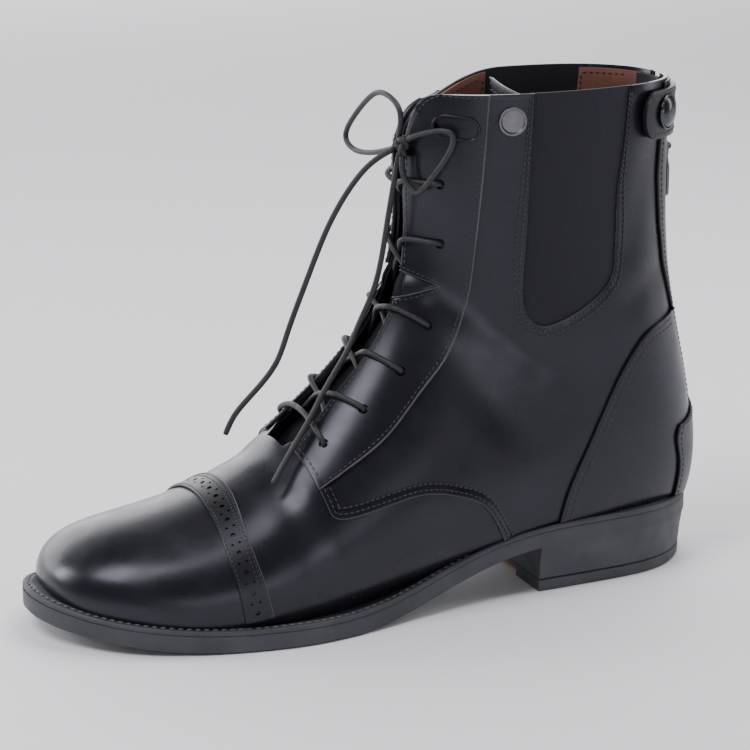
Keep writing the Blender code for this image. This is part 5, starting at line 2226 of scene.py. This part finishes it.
    def insole(self) -> Item:
        """Lined insole board with its edge turned up a little.

        Returns:
            The insole.
        """
        sole = self.shop.sole
        x, outer, inner = sole.stations(160).T
        half = np.maximum(0.5 * (inner - outer) - self.insole_margin, 0.05)
        share = np.linspace(-1.0, 1.0, 25)
        y = 0.5 * (outer + inner)[:, None] + half[:, None] * share
        far = np.repeat(np.clip(x, SOLE[0][0] + 11.0, SOLE[-1][0] - 11.0)[:, None], 25, 1)
        low = np.stack([far, y, sole.feather(far) + 0.2], -1)
        top = np.stack([far, y, sole.feather(far) + 2.4 + 0.8 * np.abs(share) ** 4], -1)
        return self.loft("insole_lining", np.concatenate([low, top[:, ::-1]], 1))

    def welt_stitches(self) -> None:
        """Pale stitches along the welt from breast to breast."""
        points, inward = self.shop.sole.edge(1400)
        front = np.flatnonzero(points[:, 0] < HEEL_BREAST_X + 4.0)
        split = int(np.diff(front).argmax()) + 1
        order = np.concatenate([front[split:], front[:split]])
        height = self.shop.sole.feather(points[order, 0]) - 1.35
        path = np.column_stack([(points + inward * 2.45)[order], height])
        needle = Needle(self.last)
        needle.sew(path, np.tile((0.0, 0.0, 1.0), (len(path), 1)), 3.3, (2.5, 0.75, 0.7))
        dress(needle.make("welt_stitching"), self.finishes.welt_thread)


@dataclass
class Zip(Piecework):
    """Back zip: tapes, coil, slider and hinged pull."""

    half_tape: float = 10.0
    span_z: Pair = (ZIP_FOOT_Z - 4.0, 203.6)
    tooth_pitch: float = 1.35
    tooth: Point = (3.1, 1.15, 1.9)
    tooth_out: float = 1.15
    tooth_lean: float = 0.18
    slider_size: Point = (2.7, 6.6, 11.0)
    slot_drop: float = 14.2
    slot_half: float = 2.6

    def build(self) -> None:
        """Make the zip's pieces."""
        heights = np.linspace(*self.span_z, 120)
        edge, middle = (self.last.back_place(out, heights) for out in (self.half_tape, 0.05))
        tapes = [self.sheet("tape_" + side.word, ruled(edge, middle, side.value), (14, 110), -WALL - 0.3,
                            1.0, 0.0) for side in Side]
        dress(join(tapes, "zip_tape_cloth"), self.finishes.tape, ("zip_tape",))
        self.coil()
        dress(self.slider(), self.finishes.steel, ("zip_slider",))
        dress(self.pull(), self.finishes.steel, ("zip_pull",), body=PULL)

    def coil(self) -> None:
        """Closed coil: turns that lean in from both sides by turns."""
        places = self.last.back_place(0.02, np.linspace(self.span_z[0] + 5.0, self.span_z[1] - 1.0, 400))
        path = self.last.point(*places.T, -WALL + 0.35)
        needle = Needle(self.last)
        for side in Side:
            needle.sew(path + (0.0, side.value * self.tooth_out, 0.0), self.last.normal(*places.T),
                       self.tooth_pitch, self.tooth, 0.5 * math.pi + side.value * self.tooth_lean)
        dress(needle.make("zip_coil"), self.finishes.thread)

    def slider(self) -> Item:
        """Slider body, narrower below, with its two ears and pin.

        Returns:
            The slider.
        """
        x, z = ZIP_PIN
        deselect()
        bpy.ops.mesh.primitive_cube_add(size=1.0)
        item = named("zip_slider_metal")
        flat = read_points(item) * self.slider_size
        flat[:, 1] *= np.where(flat[:, 2] > 0.0, 1.0, 0.72)
        write_points(item, flat + (x - 3.25, 0.0, z - 3.0))
        apply_modifier(item, "BEVEL", width=0.7 * MM, segments=3)
        parts = [item, peg((x, 0.0, z), (0.0, 1.0, 0.0), 0.6, 7.0, 16)]
        for side in Side:
            ear = peg((x - 0.5, side.value * 3.05, z), (0.0, 1.0, 0.0), 1.5, 0.9, 20)
            points = read_points(ear) / MM - FRAME_SHIFT
            points[:, 0] -= np.where(points[:, 0] < x, 1.2, 0.0)
            write_points(ear, points)
            parts.append(ear)
        join(parts)
        shade(item)
        return item

    def pull(self) -> Item:
        """Pull tab with an eye round the pin, a waist and a slot in its grip.

        Returns:
            The pull.
        """
        x, z = ZIP_PIN
        half = Spline(PULL_OUTLINE).line(40)
        outline = np.concatenate([half, half[-2:0:-1] * (-1.0, 1.0)])

        def shape(turn: Array, flat: Array) -> Array:
            """Flat tab hanging from the pin."""
            return np.stack([x + 0.55 * flat[:, 2], outline[turn, 0], z + outline[turn, 1]], 1)

        item = prism("zip_pull_metal", len(outline), shape)
        combine(item, peg((x, 0.0, z), (0.0, 1.0, 0.0), 1.55, 4.4, 24), "UNION")
        combine(item, peg((x, 0.0, z), (0.0, 1.0, 0.0), 0.85, 9.0, 20))
        slot_z = z - self.slot_drop
        slot = peg((x, 0.0, slot_z), (1.0, 0.0, 0.0), 1.4, 4.0, 24)
        points = read_points(slot) / MM - FRAME_SHIFT
        points[:, 2] += self.slot_half * np.sign(np.round(points[:, 2] - slot_z, 3))
        write_points(slot, points)
        combine(item, slot)
        ease(item, 0.18, 40.0)
        shade(item)
        return item


@dataclass
class Buttons(Piecework):
    """Strap snap and the bare round badge."""

    around: int = 64

    def build(self) -> None:
        """Make both buttons."""
        snap = self.turned("strap_snap_cap", SNAP_POINT, SNAP_PROFILE, STRAP_LOW + STRAP_THICK + 0.1)
        dress(snap, self.finishes.gun, ("strap_snap",))
        badge = self.turned("badge_disc", BADGE_POINT, BADGE_PROFILE, 0.25)
        dress(badge, self.finishes.steel, ("badge",))

    def turned(self, name: str, spot: Pair, profile: Sequence[Pair], low: float) -> Item:
        """Round piece turned on the normal of the last.

        Args:
            name: Name of the piece.
            spot: Its place in side view, on the outer side.
            profile: Radius and height, from the middle outwards.
            low: Height of its foot above the last.

        Returns:
            The closed piece.
        """
        row, angle = Side.LATERAL.put(self.last.place_of((spot,)))[0]
        normal = self.last.normal(row, angle)
        first = unit(np.cross(normal, (0.0, 0.0, 1.0)))
        second = np.cross(normal, first)
        outline = np.concatenate([Spline(profile).line(40), [(0.0, profile[-1][1])]])
        radius, height = outline.T[..., None, None]
        turn = np.linspace(0.0, math.tau, self.around, endpoint=False)[:, None]
        rings = radius * (np.cos(turn) * first + np.sin(turn) * second) + height * normal
        return rolled(name, self.last.point(row, angle, low) + rings, 40.0)


@dataclass
class Lace(Piecework):
    """One waxed lace through the eyelets, tied in a loose bow."""

    inside: float = -WALL - LACE_RADIUS - 0.25
    cross_height: float = -1.0
    knot_size: float = 0.95

    def build(self) -> None:
        """Make both strands, the knot, the loops and the free ends."""
        finish = self.finishes.cord
        nodes = {Side.LATERAL: ["lace_bar"],
                 Side.MEDIAL: ["lace_cross_%d" % k for k in range(1, LACED_PAIRS)]}
        for side in Side:
            dress(tube("lace_strand_" + side.word, self.strand(side), LACE_RADIUS), finish, nodes[side])
        knot = dress(self.knot(), finish, ("lace_knot",))
        for run in FREE_RUNS:
            path = even_path(Spline(run.route).line(600), 1.0)
            radius = np.full(len(path), LACE_RADIUS)
            if run.far_end == "bare":
                radius[-1] = 0.8 * LACE_RADIUS
            item = dress(tube(run.node + "_cord", path, radius), finish, (run.node,))
            in_frame = to_frame(path)

    def edge_angle(self, row: float) -> float:
        """Angle of the throat's edge, as positive."""
        return float(self.last.angle_out(row, throat_half(row)))

    def strand(self, start: Side) -> Array:
        """Path from the middle of the lowest bar through every second eyelet up to the knot.

        Args:
            start: Side whose lowest eyelet the strand enters.

        Returns:
            Even points in millimetres.
        """
        lift = LACE_LIFT
        over = LACE_RADIUS * start.value
        sign = start.value
        low_row = EYELETS[0].row
        route = [(low_row, 0.0, lift - 0.4), (low_row, sign * 0.6 * self.edge_angle(low_row), lift - 0.1)]
        for k, (row, out) in enumerate(EYELETS[:LACED_PAIRS]):
            hole = float(self.last.angle_out(row, out))
            edge = self.edge_angle(row)
            back = 0.0 if k == 0 else 0.36 * (row - EYELETS[k - 1].row)
            top = k == LACED_PAIRS - 1
            span = 0.62 if top else EYELETS[k + 1].row - row
            route += [(row - 0.6 * back, sign * (0.6 * edge + 0.4 * hole), lift),
                      (row - 0.2 * back, sign * (0.2 * edge + 0.8 * hole), lift),
                      (row, sign * 0.985 * hole, lift - 0.9),
                      (row, sign * 1.01 * hole, -0.6),
                      (row + 0.02, sign * 0.97 * hole, self.inside),
                      (row + 0.15 * span, sign * (0.55 * hole + 0.25 * edge), self.inside)]
            if top:
                break
            low, middle, far = (row + share * span for share in (0.3, 0.44, 0.64))
            route += [(low, sign * 0.7 * self.edge_angle(low), self.inside + 0.9),
                      (middle, -sign * 0.1 * self.edge_angle(middle), self.cross_height + over),
                      (far, -sign * 0.98 * self.edge_angle(far), lift - 0.05)]
            sign = -sign
        route.append((9.62, sign * 0.5 * self.edge_angle(9.6), self.cross_height))
        ends = np.array(KNOT) + ((0.6, 1.2 * sign, -4.2), (0.0, 0.5 * sign, -1.2))
        points = np.concatenate([self.last.point(*np.array(route).T), ends])
        return even_path(Spline(points).line(900), 0.9)

    def knot(self) -> Item:
        """Small tight knot of two turns.

        Returns:
            The knot.
        """
        turn = np.linspace(0.0, math.tau, 160)
        x = self.knot_size * (np.sin(turn) + 2.0 * np.sin(2.0 * turn))
        y = self.knot_size * (np.cos(turn) - 2.0 * np.cos(2.0 * turn))
        z = -1.25 * np.sin(3.0 * turn)
        path = np.array(KNOT) + np.stack([z * 0.9, x * 1.05, y * 1.35], 1)
        return tube("lace_knot_cord", path, LACE_RADIUS * 0.95, closed=True)


@dataclass
class Studio:
    """Pale floor, soft light and the camera at the photograph's angle."""

    target: Point = (0.00057, 0.00159, 0.090)
    azimuth: float = -23.09
    elevation: float = 15.91
    distance: float = 1.0
    lens: float = 119.3
    sensor: float = 36.0
    lamp_colour: Colour = (0.965, 0.965, 1.0)
    sky_colour: Colour = (0.94, 0.94, 1.0)
    sky_strength: float = 0.16

    def build(self) -> None:
        """Set the whole stage."""
        self.camera()
        self.floor()
        self.world()
        for box in SOFT_BOXES:
            self.light(box)

    def camera(self) -> None:
        """Camera on the photograph's line of sight."""
        a = math.radians(self.azimuth)
        e = math.radians(self.elevation)
        back = Vector((math.sin(a) * math.cos(e), -math.cos(a) * math.cos(e), math.sin(e)))
        deselect()
        bpy.ops.object.camera_add(location=Vector(self.target) + back * self.distance)
        camera = bpy.context.object
        camera.rotation_euler = (-back).to_track_quat("-Z", "Y").to_euler()
        camera.data.lens = self.lens
        camera.data.sensor_width = self.sensor
        camera.data.clip_start = 0.01
        bpy.context.scene.camera = camera

    def floor(self) -> None:
        """Large pale floor."""
        deselect()
        bpy.ops.mesh.primitive_grid_add(x_subdivisions=4, y_subdivisions=4, size=12.0)
        item = named("floor")
        desk = Desk("pale_floor")
        desk.tint(desk.noise(3.0), (0.86, 0.86, 0.87), (0.88, 0.88, 0.89))
        desk.fixed(Roughness=0.7)
        item.data.materials.append(desk.material)

    def world(self) -> None:
        """Even pale surroundings."""
        world = bpy.data.worlds.new("studio")
        bpy.context.scene.world = world
        world.use_nodes = True
        back = world.node_tree.nodes["Background"]
        back.inputs["Color"].default_value = (*self.sky_colour, 1.0)
        back.inputs["Strength"].default_value = self.sky_strength

    def light(self, box: SoftBox) -> None:
        """Add one soft box.

        Args:
            box: The light.
        """
        deselect()
        bpy.ops.object.light_add(type="AREA", location=box.place)
        lamp = bpy.context.object
        lamp.name = box.name
        lamp.rotation_euler = (Vector(box.aim) - Vector(box.place)).to_track_quat("-Z", "Y").to_euler()
        lamp.data.shape = "RECTANGLE"
        lamp.data.size, lamp.data.size_y = box.size
        lamp.data.energy = box.watts
        lamp.data.color = self.lamp_colour


def main() -> None:
    """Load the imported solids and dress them."""
    logging.basicConfig(level=logging.INFO, format="%(name)s: %(message)s")
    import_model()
    Studio().build()
    shop = Workshop()
    for kind in (Lace, Upper, Facings, ToeBand, HeelLeather, Sole, Zip, Buttons):
        kind(shop).build()
        LOG.info("%s done", kind.__name__)
    dress(shop.thread.make("leather_stitching"), shop.finishes.thread)
    # All pale edge tubes as one piece: painted highlight along the leather's edges.
    dress(join(shop.edges, "edge_highlights"), shop.finishes.cut_edge)


if __name__ == "__main__":
    main()
